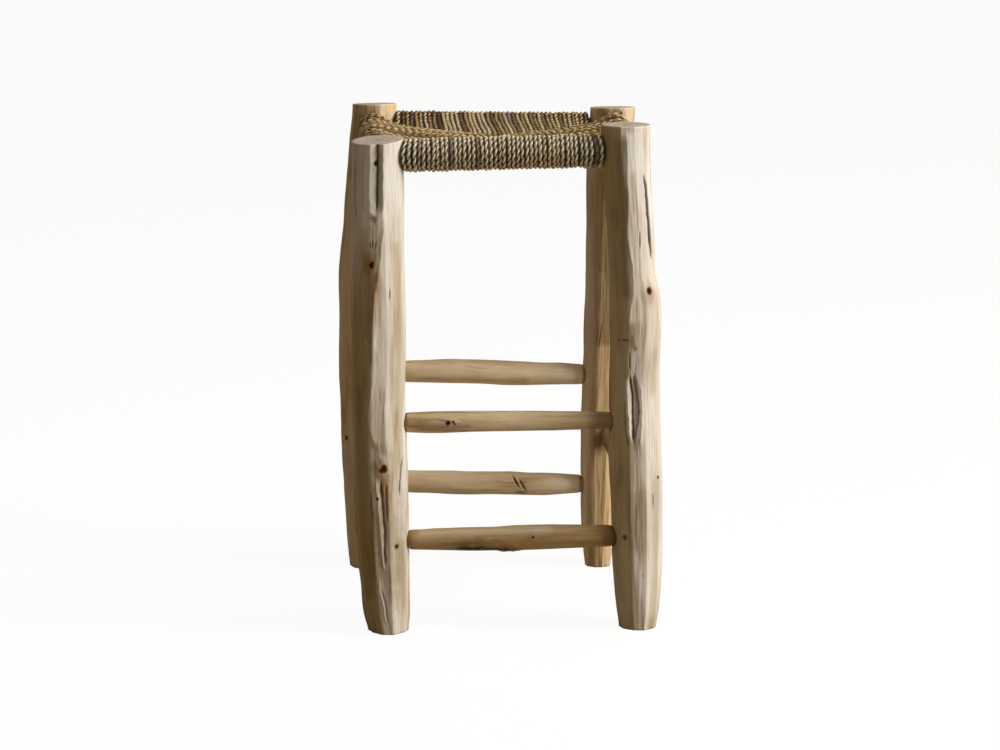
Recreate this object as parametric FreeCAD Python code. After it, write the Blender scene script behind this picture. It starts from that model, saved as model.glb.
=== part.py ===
import FreeCAD, Part
import math
import os

# A tall rustic stool: four hewn legs, round rungs and rails tenoned into them,
# and a seat of twisted leaf cord woven round the rails.
# The stool stands on the floor at z = 0 with its front towards -Y.
# The origin is on the floor under the middle of the stool.

Vector = FreeCAD.Vector
UP = Vector(0, 0, 1)
TO_RIGHT = Vector(1, 0, 0)
TO_BACK = Vector(0, 1, 0)

# Overall sizes, in millimetres

seat_height = 636.5        # top of the cord where it goes over the rails
front_spacing = 311.0      # between the middles of the front legs, at the seat
back_spacing = 326.0       # between the middles of the back legs, at the seat
side_spacing = 320.0       # between front and back legs, at the seat
seat_shift_x = 2.5         # the seat's middle from the origin: the legs lean,
seat_shift_y = 1.4         # so that it isn't quite over the middle of the whole

# Legs

leg_width = 70.0           # a leg's nominal thickness
hew_depth = 1.0            # how much the hewn facets wander
front_left_rise = 16.7     # each leg's top above the middle of the seat rails
front_right_rise = 34.7
back_left_rise = 30.2
back_right_rise = 24.4

# Seat rails, hidden under the cord

rail_diameter = 30.0
rail_shoulder = 4.0        # length over which a rail narrows to its tenon

# Rungs

rung_diameter = 30.0
lower_rung_height = 118.5  # middle of the lower rungs, front and back
side_rung_height = 190.0   # middle of the side rungs
upper_rung_height = 272.0  # middle of the upper rungs, front and back

# Mortise and tenon joints

tenon_diameter = 20.0
tenon_wall = 3.0           # wood between two tenons that meet inside a leg
mortise_clearance = 0.15   # round the tenon
mortise_end_gap = 1.0      # past the tenon's end
shoulder_gap = 1.0         # between a leg's face and the start of a shoulder

# Woven seat

cord_diameter = 5.9
soft_clearance = 0.3       # between the cord and the rails inside it
weave_end_gap = 0.6        # between the last turn of cord and a leg
seat_dip = 15.0            # how far the middle lies below the cord on the rails
seat_middle = 18.0         # thickness of the woven cords in the middle
corner_dip = 16.0          # how far below it the first turns cross, beside a leg
corner_middle = 12.0       # thickness of the woven cords there

# Nails that pin the lower rungs' tenons

nail_diameter = 2.6
nail_point = 4.0
nail_past = 3.0            # how far a nail's point goes past the tenon
nail_head_diameter = 4.8
nail_head_height = 1.2
nail_clearance = 0.1
front_nail_place_share = 0.2   # from a tenon's end, as a share of its length
nail_place_share = 0.35        # the same on the other rungs

overrun = 20.0             # how far a cutting tool goes past what it cuts

# The middle of the four seat rails, which the legs' tops are measured from

rail_height = seat_height - cord_diameter - soft_clearance - rail_diameter / 2

# Each row gives a height as a share of the leg's own height, then how far the
# leg's middle has drifted from its middle at the seat and how thick it is, both
# as shares of leg_width.

front_left_shares = (
    (0.000, 0.140, 0.720),
    (0.030, 0.088, 0.850),
    (0.080, 0.070, 0.910),
    (0.135, 0.050, 0.965),
    (0.285, 0.012, 1.020),
    (0.450, -0.020, 0.990),
    (0.630, 0.000, 1.010),
    (0.750, -0.012, 0.970),
    (0.890, -0.006, 0.980),
    (0.992, 0.000, 0.915),
    (1.000, 0.000, 0.880),
)
front_right_shares = (
    (0.000, 0.283, 0.690),
    (0.030, 0.290, 0.780),
    (0.078, 0.280, 0.860),
    (0.135, 0.266, 0.930),
    (0.277, 0.245, 0.970),
    (0.430, 0.198, 0.960),
    (0.523, 0.180, 0.950),
    (0.615, 0.203, 0.990),
    (0.677, 0.188, 0.940),
    (0.712, 0.125, 0.850),
    (0.800, 0.092, 0.885),
    (0.925, 0.004, 0.875),
    (0.993, -0.010, 0.890),
    (1.000, -0.010, 0.860),
)
back_left_shares = (
    (0.000, -0.175, 0.710),
    (0.030, -0.177, 0.800),
    (0.080, -0.177, 0.860),
    (0.135, -0.180, 0.905),
    (0.280, -0.220, 0.955),
    (0.430, -0.227, 0.970),
    (0.620, -0.220, 0.970),
    (0.720, -0.165, 0.945),
    (0.810, -0.113, 0.925),
    (0.930, -0.025, 0.900),
    (0.992, 0.030, 0.870),
    (1.000, 0.030, 0.830),
)
back_right_shares = (
    (0.000, -0.252, 0.550),
    (0.030, -0.254, 0.630),
    (0.080, -0.252, 0.690),
    (0.135, -0.244, 0.730),
    (0.280, -0.220, 0.790),
    (0.440, -0.152, 0.815),
    (0.690, -0.104, 0.836),
    (0.880, -0.076, 0.875),
    (0.940, -0.032, 0.886),
    (0.992, -0.002, 0.875),
    (1.000, -0.002, 0.840),
)

# The corners between a leg's hewn facets: a share of a full turn from +X, then
# a share of the leg's half thickness.

front_left_corner_shares = (
    (0.000, 1.000), (0.105, 0.980), (0.200, 1.010), (0.300, 0.990), (0.400, 0.980),
    (0.500, 1.000), (0.605, 1.000), (0.705, 1.000), (0.795, 1.010), (0.905, 0.980),
)
front_right_corner_shares = (
    (0.000, 1.000), (0.095, 1.000), (0.195, 0.990), (0.305, 0.990), (0.395, 1.010),
    (0.500, 1.000), (0.600, 0.980), (0.700, 1.010), (0.800, 1.000), (0.900, 1.010),
)
back_left_corner_shares = (
    (0.000, 1.000), (0.100, 1.010), (0.205, 1.000), (0.295, 0.990), (0.405, 1.000),
    (0.500, 1.000), (0.600, 0.990), (0.695, 0.980), (0.800, 1.000), (0.895, 0.980),
)
back_right_corner_shares = (
    (0.000, 1.000), (0.105, 0.990), (0.205, 1.000), (0.305, 1.010), (0.400, 0.990),
    (0.500, 1.000), (0.595, 1.000), (0.700, 0.990), (0.795, 1.000), (0.900, 1.000),
)

# Thickness of a rung's body as shares of rung_diameter, from its left or front
# end to its right or back end, at rung_place_shares of its free length.

rung_place_shares = (0.018, 0.20, 0.50, 0.80, 0.982)
front_upper_girth_shares = (0.84, 0.91, 0.88, 0.80, 0.72)
front_lower_girth_shares = (0.85, 0.98, 1.04, 1.02, 0.92)
back_upper_girth_shares = (0.92, 1.09, 1.10, 1.03, 0.93)
back_lower_girth_shares = (0.98, 1.06, 1.08, 1.00, 0.84)
left_girth_shares = (0.86, 0.94, 0.98, 0.93, 0.84)
right_girth_shares = (0.84, 0.92, 0.96, 0.94, 0.88)

# How far the two ends of a seat rail lie above rail_height, as shares of
# rail_diameter.

front_rail_rise_shares = (-0.13, 0.09)
back_rail_rise_shares = (0.0, -0.12)
left_rail_rise_shares = (0.0, 0.0)
right_rail_rise_shares = (0.0, 0.0)

# How far a rung's two ends lie above its nominal height, as shares of
# rung_diameter, and how far the right rung's back end lies to the right, as a
# share of leg_width.

front_upper_rise_shares = (0.0, 0.0)
front_lower_rise_shares = (0.0, 0.07)
back_upper_rise_shares = (0.15, -0.07)
back_lower_rise_shares = (0.10, -0.11)
left_rise_shares = (0.05, -0.05)
right_rise_shares = (0.07, -0.04)
right_offset_share = 0.08

# The slope of each leg's sawn top, to the right and to the back, and how far its
# foot leans towards the back, as a share of leg_width.

front_left_tilt_shares, front_left_lean_share = (0.055, 0.08), -0.05
front_right_tilt_shares, front_right_lean_share = (0.0, 0.0), 0.04
back_left_tilt_shares, back_left_lean_share = (0.01, -0.06), 0.05
back_right_tilt_shares, back_right_lean_share = (0.0, -0.06), -0.06

# How far each nail lies above the middle of its rung, as a share of the tenon's
# radius: front, back, left and right rung, first end and last end.

front_nail_shares = (-0.2, 0.4)
back_nail_shares = (0.1, -0.1)
left_nail_shares = (0.2, -0.2)
right_nail_shares = (0.1, -0.3)


class Leg:
    """One hewn leg: its middle line, its faceted blank and the holes in it."""

    def __init__(self, name, side, end, rise, top_tilt_shares, lean_share, shares, corner_shares):
        spacing = front_spacing if end < 0 else back_spacing
        self.name = name
        self.top = Vector(seat_shift_x + side * spacing / 2,
                          seat_shift_y + end * side_spacing / 2,
                          rail_height + rise)
        self.top_tilt_shares = top_tilt_shares
        self.lean_share = lean_share
        self.shares = shares
        self.corner_shares = corner_shares
        self.cuts = []
        self.blank = self.make_blank()

    def row(self, height_share, drift_share):
        """The leg's middle at one height, given as a share of its own height."""
        lean = self.lean_share * (1 - height_share)
        return Vector(self.top.x + drift_share * leg_width,
                      self.top.y + lean * leg_width,
                      self.top.z * height_share)

    def middle(self, z):
        """The leg's middle at a height in millimetres."""
        share = z / self.top.z
        for low, high in zip(self.shares, self.shares[1:]):
            if share <= high[0]:
                break
        part = (share - low[0]) / (high[0] - low[0])
        return self.row(share, low[1] + part * (high[1] - low[1]))

    def make_blank(self):
        """The hewn leg before any hole is made: flats between irregular corners."""
        sections = []
        tilted_from = len(self.shares) - 2
        for number, (height_share, drift_share, width_share) in enumerate(self.shares):
            middle = self.row(height_share, drift_share)
            right_tilt, back_tilt = self.top_tilt_shares if number >= tilted_from else (0, 0)
            corners = []
            for corner, (turn_share, radius_share) in enumerate(self.corner_shares):
                angle = turn_share * 2 * math.pi
                wander = hew_depth * math.sin(corner * corner + number * math.e)
                if corner in (0, len(self.corner_shares) // 2):
                    wander = 0
                radius = leg_width * width_share / 2 * radius_share - abs(wander)
                right = radius * math.cos(angle)
                back = radius * math.sin(angle)
                corners.append(middle + Vector(right, back, right_tilt * right + back_tilt * back))
            sections.append(Part.makePolygon(corners + corners[:1]))
        return Part.makeLoft(sections, True, True)

    def reach(self, start, direction):
        """Distance from a point inside the leg to its face, in one direction."""
        far = Part.makeLine(start, start + direction * (leg_width + overrun))
        return self.blank.common(far).Length

    def finished(self):
        return self.blank.cut(self.cuts)


class Bar:
    """A rail or rung between two legs, with a round tenon at each end."""

    def __init__(self, name, first, first_point, last, last_point):
        self.name = name
        self.axis = (last_point - first_point).normalize()
        self.radius = tenon_diameter / 2
        self.stop = self.radius + tenon_wall
        self.first = first
        self.last = last
        self.first_point = first_point
        self.last_point = last_point
        self.first_reach = first.reach(first_point, self.axis)
        self.last_reach = last.reach(last_point, -self.axis)
        self.start = first_point + self.axis * self.stop
        self.length = (last_point - first_point).Length - 2 * self.stop
        self.free_start = self.first_reach - self.stop + shoulder_gap
        self.free_end = self.length - (self.last_reach - self.stop) - shoulder_gap
        self.cut_mortise(first, first_point, self.axis)
        self.cut_mortise(last, last_point, -self.axis)
        self.cuts = []

    def height_at(self, leg):
        """The height of the bar's end in one of its two legs."""
        return self.first_point.z if leg is self.first else self.last_point.z

    def cut_mortise(self, leg, point, direction):
        bottom = point + direction * (self.stop - mortise_end_gap)
        depth = leg.reach(point, direction) - self.stop + mortise_end_gap + overrun
        leg.cuts.append(Part.makeCylinder(self.radius + mortise_clearance, depth, bottom, direction))

    def turned(self, body):
        """A solid of revolution; body is an edge from free_start to free_end."""
        first = body.valueAt(body.FirstParameter)
        last = body.valueAt(body.LastParameter)
        outline = [Vector(), Vector(0, 0, self.radius), Vector(self.free_start, 0, self.radius), first]
        closing = [last, Vector(self.free_end, 0, self.radius), Vector(self.length, 0, self.radius),
                   Vector(self.length, 0, 0), Vector()]
        wire = Part.Wire(Part.makePolygon(outline).Edges + [body] + Part.makePolygon(closing).Edges)
        solid = Part.Face(wire).revolve(Vector(), Vector(1, 0, 0), 360)
        solid.Placement = FreeCAD.Placement(self.start, FreeCAD.Rotation(Vector(1, 0, 0), self.axis))
        return solid

    def rail(self):
        radius = rail_diameter / 2
        body = Part.makeLine(Vector(self.free_start + rail_shoulder, 0, radius),
                             Vector(self.free_end - rail_shoulder, 0, radius))
        return self.turned(body)

    def rung(self, girth_shares):
        free = self.free_end - self.free_start
        points = []
        for place_share, girth_share in zip(rung_place_shares, girth_shares):
            points.append(Vector(self.free_start + free * place_share, 0, rung_diameter * girth_share / 2))
        curve = Part.BSplineCurve()
        curve.interpolate(points)
        solid = self.turned(curve.toShape())
        return solid.cut(self.cuts) if self.cuts else solid


def nail(bar, leg, place_share, rise_share, direction):
    """A nail through a leg and a tenon; it also cuts its hole in both."""
    if leg is bar.first:
        end, reach, inward = bar.first_point, bar.first_reach, bar.axis
    else:
        end, reach, inward = bar.last_point, bar.last_reach, -bar.axis
    point = end + inward * (bar.stop + (reach - bar.stop) * place_share)
    point = point + UP * (bar.radius * rise_share)
    depth = leg.reach(point, -direction) - nail_head_height
    seat = point - direction * depth
    nail_length = depth + bar.radius + nail_past
    head = Part.makeCylinder(nail_head_diameter / 2, nail_head_height, seat, -direction)
    straight = nail_length - nail_point
    shank = Part.makeCylinder(nail_diameter / 2, straight, seat, direction)
    tip = Part.makeCone(nail_diameter / 2, 0, nail_point, seat + direction * straight, direction)
    hole_radius = nail_diameter / 2 + nail_clearance
    hole = Part.makeCylinder(hole_radius, nail_length + mortise_end_gap, seat, direction)
    recess_radius = nail_head_diameter / 2 + nail_clearance
    recess = Part.makeCylinder(recess_radius, nail_head_diameter + overrun, seat, -direction)
    leg.cuts += [hole, recess]
    bar.cuts.append(hole)
    return head.fuse([shank, tip]).removeSplitter()


# From a rail's middle to the outside of the cord round it
turn_radius = rail_diameter / 2 + soft_clearance + cord_diameter


def cord_section(centre, mitre, across, dip, thickness):
    """The outline of the woven cord across one rail.

    centre is the rail's middle, mitre the place where the cord meets that of the
    next rail, and across a unit vector at right angles to the rail. dip and
    thickness say how deep and how thick the cord is at the mitre.
    """
    top = seat_height - dip - centre.z
    bottom = top - thickness
    inward = (mitre - centre).dot(across)
    step = math.copysign(1, inward)
    tangents = []
    for height, sign in ((top, 1), (bottom, -1)):
        bearing = math.atan2(height, abs(inward))
        spread = math.acos(turn_radius / math.hypot(height, inward))
        angle = bearing + sign * spread
        turn = across * (turn_radius * math.cos(angle) * step) + UP * (turn_radius * math.sin(angle))
        tangents.append(centre + turn)
    over, under = tangents
    outside = centre - across * (turn_radius * step)
    mitre_top = centre + across * inward + UP * top
    mitre_bottom = centre + across * inward + UP * bottom
    arc = Part.Arc(over, outside, under).toShape()
    lines = Part.makePolygon([under, mitre_bottom, mitre_top, over])
    return Part.Wire([arc] + lines.Edges)


def weave_corner(leg, rails, along_x, along_y):
    """Where the first turns of cord cross, clear of a leg at every height they reach."""
    heights = [rail.height_at(leg) for rail in rails]
    bottom = min(heights) - turn_radius
    thickness = max(heights) + turn_radius - bottom
    low = Vector(leg.top.x - leg_width, leg.top.y - leg_width, bottom)
    slab = Part.makeBox(2 * leg_width, 2 * leg_width, thickness, low)
    box = leg.blank.common(slab).BoundBox
    x = box.XMax + weave_end_gap if along_x > 0 else box.XMin - weave_end_gap
    y = box.YMax + weave_end_gap if along_y > 0 else box.YMin - weave_end_gap
    return Vector(x, y, 0)


def weave_half(rail, corner, centre, along, across):
    """The cord between a corner of the seat and its middle, over one rail.

    along and across are unit vectors: the way the rail runs, and square to it.
    """
    span = rail.last_point - rail.first_point
    sections = []
    for point, dip, thickness in ((corner, corner_dip, corner_middle), (centre, seat_dip, seat_middle)):
        share = (point - rail.first_point).dot(along) / span.dot(along)
        middle = rail.first_point + span * share
        sections.append(cord_section(middle, point, across, dip, thickness))
    return Part.makeLoft(sections, True, True)


def make_weave(front, back, left, right):
    """All the woven cord as one closed body, with a channel for each rail."""
    corners = {
        "front_left": weave_corner(front.first, (front, left), 1, 1),
        "front_right": weave_corner(front.last, (front, right), -1, 1),
        "back_left": weave_corner(back.first, (back, left), 1, -1),
        "back_right": weave_corner(back.last, (back, right), -1, -1),
    }
    centre = Vector()
    for corner in corners.values():
        centre += corner * (1 / len(corners))
    halves = []
    for rail, first, last, along, across in (
            (front, "front_left", "front_right", TO_RIGHT, TO_BACK),
            (back, "back_left", "back_right", TO_RIGHT, TO_BACK),
            (left, "front_left", "back_left", TO_BACK, TO_RIGHT),
            (right, "front_right", "back_right", TO_BACK, TO_RIGHT)):
        halves.append(weave_half(rail, corners[first], centre, along, across))
        halves.append(weave_half(rail, corners[last], centre, along, across))
    body = halves[0].fuse(halves[1:]).removeSplitter()
    radius = rail_diameter / 2 + soft_clearance
    channels = []
    for rail in (front, back, left, right):
        channels.append(Part.makeCylinder(radius, (rail.last_point - rail.first_point).Length,
                                          rail.first_point, rail.axis))
    return body.cut(channels)


front_left = Leg("leg_front_left", -1, -1, front_left_rise, front_left_tilt_shares,
                 front_left_lean_share, front_left_shares, front_left_corner_shares)
front_right = Leg("leg_front_right", 1, -1, front_right_rise, front_right_tilt_shares,
                  front_right_lean_share, front_right_shares, front_right_corner_shares)
back_left = Leg("leg_back_left", -1, 1, back_left_rise, back_left_tilt_shares,
                back_left_lean_share, back_left_shares, back_left_corner_shares)
back_right = Leg("leg_back_right", 1, 1, back_right_rise, back_right_tilt_shares,
                 back_right_lean_share, back_right_shares, back_right_corner_shares)
legs = (front_left, front_right, back_left, back_right)


def bar(name, first, last, height, diameter, rise_shares, offset_share=0.0):
    """A bar between two legs, at a height above the floor; see the rise shares above."""
    first_point = first.middle(height + diameter * rise_shares[0])
    last_point = last.middle(height + diameter * rise_shares[1])
    last_point.x += leg_width * offset_share
    return Bar(name, first, first_point, last, last_point)


rails = {
    "front": bar("seat_rail_front", front_left, front_right, rail_height, rail_diameter,
                 front_rail_rise_shares),
    "back": bar("seat_rail_back", back_left, back_right, rail_height, rail_diameter,
                back_rail_rise_shares),
    "left": bar("seat_rail_left", front_left, back_left, rail_height, rail_diameter,
                left_rail_rise_shares),
    "right": bar("seat_rail_right", front_right, back_right, rail_height, rail_diameter,
                 right_rail_rise_shares),
}

front_upper = bar("rung_front_upper", front_left, front_right, upper_rung_height, rung_diameter,
                  front_upper_rise_shares)
front_lower = bar("rung_front_lower", front_left, front_right, lower_rung_height, rung_diameter,
                  front_lower_rise_shares)
back_upper = bar("rung_back_upper", back_left, back_right, upper_rung_height, rung_diameter,
                 back_upper_rise_shares)
back_lower = bar("rung_back_lower", back_left, back_right, lower_rung_height, rung_diameter,
                 back_lower_rise_shares)
side_left = bar("rung_left", front_left, back_left, side_rung_height, rung_diameter,
                left_rise_shares)
side_right = bar("rung_right", front_right, back_right, side_rung_height, rung_diameter,
                 right_rise_shares, right_offset_share)

nails = []
for rung, place_share, rise_shares, direction in (
        (front_lower, front_nail_place_share, front_nail_shares, TO_BACK),
        (back_lower, nail_place_share, back_nail_shares, -TO_BACK),
        (side_left, nail_place_share, left_nail_shares, TO_RIGHT),
        (side_right, nail_place_share, right_nail_shares, -TO_RIGHT)):
    nails.append(nail(rung, rung.first, place_share, rise_shares[0], direction))
    nails.append(nail(rung, rung.last, place_share, rise_shares[1], direction))

shapes = {rail.name: rail.rail() for rail in rails.values()}
for rung, girth_shares in (
        (front_upper, front_upper_girth_shares), (front_lower, front_lower_girth_shares),
        (back_upper, back_upper_girth_shares), (back_lower, back_lower_girth_shares),
        (side_left, left_girth_shares), (side_right, right_girth_shares)):
    shapes[rung.name] = rung.rung(girth_shares)
for leg in legs:
    shapes[leg.name] = leg.finished()
shapes["rung_nails"] = Part.makeCompound(nails)
shapes["seat_weave"] = make_weave(rails["front"], rails["back"], rails["left"], rails["right"])

os.makedirs("parts", exist_ok=True)
for name, shape in shapes.items():
    shape.exportStep("parts/" + name + ".step")
    print(name, "solids", len(shape.Solids), "valid", shape.isValid(), "volume", round(shape.Volume))
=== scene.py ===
import itertools
import math
from collections import namedtuple

import bpy
import numpy as np
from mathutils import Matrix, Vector


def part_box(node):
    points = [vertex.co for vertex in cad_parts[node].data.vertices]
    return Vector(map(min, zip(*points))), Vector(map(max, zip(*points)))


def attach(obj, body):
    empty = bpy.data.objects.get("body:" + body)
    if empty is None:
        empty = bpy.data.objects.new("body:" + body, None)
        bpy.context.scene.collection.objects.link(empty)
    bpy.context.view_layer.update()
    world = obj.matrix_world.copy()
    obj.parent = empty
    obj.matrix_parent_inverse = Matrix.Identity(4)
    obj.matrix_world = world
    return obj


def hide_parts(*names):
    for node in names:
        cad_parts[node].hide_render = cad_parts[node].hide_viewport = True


# A tall rustic stool: hewn legs, peeled rungs and a seat woven of twisted leaf
# cord. Lengths are in metres, and in millimetres where marks on wood are listed. A
# bearing is in degrees round a leg from the side that faces the front (-Y) towards
# +X, or round a rung from its front side upwards.

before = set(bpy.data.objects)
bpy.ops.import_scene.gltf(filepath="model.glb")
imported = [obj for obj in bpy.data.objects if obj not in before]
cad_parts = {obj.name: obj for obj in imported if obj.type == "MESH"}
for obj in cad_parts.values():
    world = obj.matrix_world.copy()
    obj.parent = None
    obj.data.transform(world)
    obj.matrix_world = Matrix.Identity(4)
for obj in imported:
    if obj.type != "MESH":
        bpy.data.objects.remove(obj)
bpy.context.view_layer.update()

# Camera, at the photograph's angle

CAMERA_PLACE = (-0.1294, -3.7478, 1.031)
CAMERA_TURN = 0.036        # to the right of straight ahead, in radians
CAMERA_DIP = 0.19216       # below the horizon, in radians
CAMERA_LENS = 103.85       # millimetres, on the usual sensor 36 mm wide

# Fineness of the meshes

LEG_COLUMNS = 280
LEG_FINE_STEP = 0.0011     # between rows near a joint
LEG_STEP = 0.0026          # between rows elsewhere
JOINT_REACH = 0.016        # how far from a joint the rows stay fine
RUNG_COLUMNS = 96
RUNG_STEP = 0.0011
RAIL_COLUMNS = 48
RAIL_STEP = 0.004
CAP_ROWS = 16
CORD_SIDES = 8
CORD_STEP = 0.0022

MM = 0.001
RIGHT, FRONT, UP = np.diag((1.0, -1.0, 1.0))


# Repeatable noise and other sums

HASH_PRIMES = (73856093, 19349663, 83492791, 374761393, 1274126177)
HASH_SPAN = 0xFFFF


def lattice(cells, seed):
    """A repeatable random value from -1 to 1 for each cell of a grid."""
    mixed = cells[..., 0] * HASH_PRIMES[0] ^ cells[..., 1] * HASH_PRIMES[1]
    mixed = mixed ^ cells[..., 2] * HASH_PRIMES[2] ^ seed * HASH_PRIMES[3]
    mixed = (mixed ^ (mixed >> 13)) * HASH_PRIMES[4]
    mixed = mixed ^ (mixed >> 16)
    return (mixed & HASH_SPAN) / HASH_SPAN * 2 - 1


def wander(points, sizes, seed):
    """Smooth noise from -1 to 1 that changes over the lengths in sizes, one for each axis."""
    scaled = points / np.array(sizes)
    cell = np.floor(scaled).astype(np.int64)
    part = scaled - cell
    part = part * part * (3 - 2 * part)
    total = 0
    for corner in itertools.product((0, 1), repeat=3):
        weight = np.prod(np.where(np.array(corner), part, 1 - part), axis=-1)
        total = total + weight * lattice(cell + np.array(corner), seed)
    return total


def joined(*parts):
    """Numbers and arrays put side by side along a new last axis."""
    return np.stack(np.broadcast_arrays(*parts), axis=-1)


def between(start, stop, share):
    return start + (stop - start) * share


def full_turn(count):
    """Bearings all the way round, in radians."""
    return np.linspace(-math.pi, math.pi, count, endpoint=False)


def sway(along, size, seed, lane=0.0):
    """Smooth noise along a line, where each lane has its own."""
    return wander(joined(along, lane, 0.0), (size, 1, 1), seed)


def relief(points, layers, seed):
    """Noise in layers, each with its height and its sizes across and along the piece."""
    return sum(height * wander(points, (across, across, along), seed + number)
               for number, (height, across, along) in enumerate(layers))


def smoothstep(low, high, value):
    """0 before low and 1 past high. high may be the smaller of the two."""
    part = np.clip((value - low) / (high - low), 0, 1)
    return part * part * (3 - 2 * part)


def blurred(values, sigma, wrap=False):
    """values smoothed along their first axis; sigma is in rows."""
    reach = max(1, int(3 * sigma))
    weights = np.exp(-0.5 * (np.arange(-reach, reach + 1) / sigma) ** 2)
    weights = weights / weights.sum()
    pad = [(reach, reach)] + [(0, 0)] * (values.ndim - 1)
    padded = np.pad(values, pad, mode="wrap" if wrap else "edge")
    total = 0
    for number, weight in enumerate(weights):
        total = total + weight * padded[number:number + len(values)]
    return total


def resampled(new_places, places, values):
    """The columns of values, which are known at places, at new places."""
    return np.stack([np.interp(new_places, places, column) for column in values.T], axis=1)


def spokes(bearings, first, second):
    """The ways out from a line: first at a bearing of 0, second a quarter turn on."""
    return np.cos(bearings)[:, None] * first + np.sin(bearings)[:, None] * second


# Meshes

def placed(name, data):
    made = bpy.data.objects.new(name, data)
    bpy.context.scene.collection.objects.link(made)
    return made


def skin(name, grids, materials, attributes, cap_rows=0):
    """One mesh of closed tubes. Each grid is rows by columns of points, and its two
    end rows are closed by a face each. cap_rows is how many rows of faces at both
    ends take the second material."""
    points, loops, starts, kinds = [], [], [], []
    base, place = 0, 0
    for grid in grids:
        rows, columns = grid.shape[:2]
        index = base + np.arange(rows * columns).reshape(rows, columns)
        ahead = np.roll(index, -1, axis=1)
        quads = joined(index[:-1], ahead[:-1], ahead[1:], index[1:])
        kind = np.zeros((rows - 1, columns))
        if cap_rows:
            kind[:cap_rows] = 1
            kind[-cap_rows:] = 1
        count = (rows - 1) * columns
        points.append(grid.reshape(-1, 3))
        loops += [quads.ravel(), index[0][::-1], index[-1]]
        starts += [place + np.arange(count) * 4, [place + count * 4, place + count * 4 + columns]]
        kinds += [kind.ravel(), [min(cap_rows, 1)] * 2]
        place += count * 4 + 2 * columns
        base += rows * columns
    points, loops, starts, kinds = map(np.concatenate, (points, loops, starts, kinds))
    mesh = bpy.data.meshes.new(name)
    mesh.vertices.add(len(points))
    mesh.vertices.foreach_set("co", points.astype(np.float32).ravel())
    mesh.loops.add(len(loops))
    mesh.loops.foreach_set("vertex_index", loops.astype(np.int32))
    mesh.polygons.add(len(starts))
    mesh.polygons.foreach_set("loop_start", starts.astype(np.int32))
    mesh.polygons.foreach_set("material_index", kinds.astype(np.int32))
    mesh.polygons.foreach_set("use_smooth", np.ones(len(starts), bool))
    mesh.update(calc_edges=True)
    for label, values in attributes.items():
        attribute = mesh.attributes.new(label, "FLOAT_VECTOR", "POINT")
        attribute.data.foreach_set("vector", values.astype(np.float32).ravel())
    for material in materials:
        mesh.materials.append(material)
    mesh.validate()
    return placed(name, mesh)


# Places read from the frame

END_FACE = 0.0006          # points this near a bar's end belong to its end face
NAIL_LEAST = 0.02          # anything shorter in the nails' node is no nail


def node_mesh(name):
    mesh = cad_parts[name].data
    points = np.empty(len(mesh.vertices) * 3)
    mesh.vertices.foreach_get("co", points)
    edges = np.empty(len(mesh.edges) * 2, np.int32)
    mesh.edges.foreach_get("vertices", edges)
    return points.reshape(-1, 3), edges.reshape(-1, 2)


def bar_ends(name):
    """The middles of a bar's two end faces, the left or front one first."""
    points = node_mesh(name)[0]
    places = points[:, np.argmax(np.ptp(points, axis=0))]
    first = points[places < places.min() + END_FACE].mean(axis=0)
    last = points[places > places.max() - END_FACE].mean(axis=0)
    return first, last


def nail_heads():
    """Where each nail's head is, on the side of the stool that it was driven from."""
    points, edges = node_mesh("rung_nails")
    labels = np.arange(len(points))
    while True:
        lowest = labels.copy()
        np.minimum.at(lowest, edges[:, 0], labels[edges[:, 1]])
        np.minimum.at(lowest, edges[:, 1], labels[edges[:, 0]])
        if (lowest == labels).all():
            break
        labels = lowest
    heads = {}
    for label in np.unique(labels):
        group = points[labels == label]
        along = int(np.argmax(np.ptp(group, axis=0)))
        reach = np.abs(group[:, along])
        if np.ptp(group[:, along]) > NAIL_LEAST:
            head = group[reach > reach.max() - 0.0002].mean(axis=0)
            heads[tuple(np.round(head, 3))] = head
    return list(heads.values())


def outline(points, edges, axes, places, bearings):
    """The middle of a solid's outer form and its radius at each bearing, in slices."""
    local = points @ np.array(axes).T
    angles = np.linspace(-math.pi, math.pi, 720, endpoint=False)
    ways = np.stack((np.cos(angles), np.sin(angles)))
    middles, radii = [], []
    for place in places:
        low, high = local[edges[:, 0]], local[edges[:, 1]]
        above, below = low[:, 2] - place, high[:, 2] - place
        crossing = above * below < 0
        low, high = low[crossing], high[crossing]
        share = (above[crossing] / (above[crossing] - below[crossing]))[:, None]
        cut = low[:, :2] + (high[:, :2] - low[:, :2]) * share
        middle = (cut.min(axis=0) + cut.max(axis=0)) / 2
        support = ((cut - middle) @ ways).max(axis=0)
        facing = np.cos(angles[None, :] - bearings[:, None])
        distance = np.where(facing > 0.2, support[None, :] / np.maximum(facing, 0.2), np.inf)
        middles.append(middle)
        radii.append(distance.min(axis=1))
    return np.array(middles), np.array(radii)


RUNGS = ("rung_front_upper", "rung_front_lower", "rung_back_upper", "rung_back_lower",
         "rung_left", "rung_right")
RAILS = ("seat_rail_front", "seat_rail_back", "seat_rail_left", "seat_rail_right")
BARS = {name: bar_ends(name) for name in RUNGS + RAILS}
NAIL_HEADS = nail_heads()


# Marks on wood, in millimetres. Each works on a surface unrolled to two lengths,
# round and along, and a path is made of places along and bearings.

Groove = namedtuple("Groove", "path depth width dark")
Ridge = namedtuple("Ridge", "path height width pale")
Band = namedtuple("Band", "kind path width strength")
Patch = namedtuple("Patch", "kind place bearing tall wide strength")
Knot = namedtuple("Knot", "place bearing radius rise dark")
# The crack, pale and brown tints also carry painted shade and painted light in some marks and joints
TINTS = ("knot", "crack", "stain", "pale", "brown")
PATH_FADE = 12             # a path's marks fade out over this length at both ends


def around_gap(turn, bearing, mean_radius):
    """Distance round the piece from a bearing, the short way."""
    whole = 2 * math.pi * mean_radius
    return (turn - mean_radius * np.radians(bearing) + whole / 2) % whole - whole / 2


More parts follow.
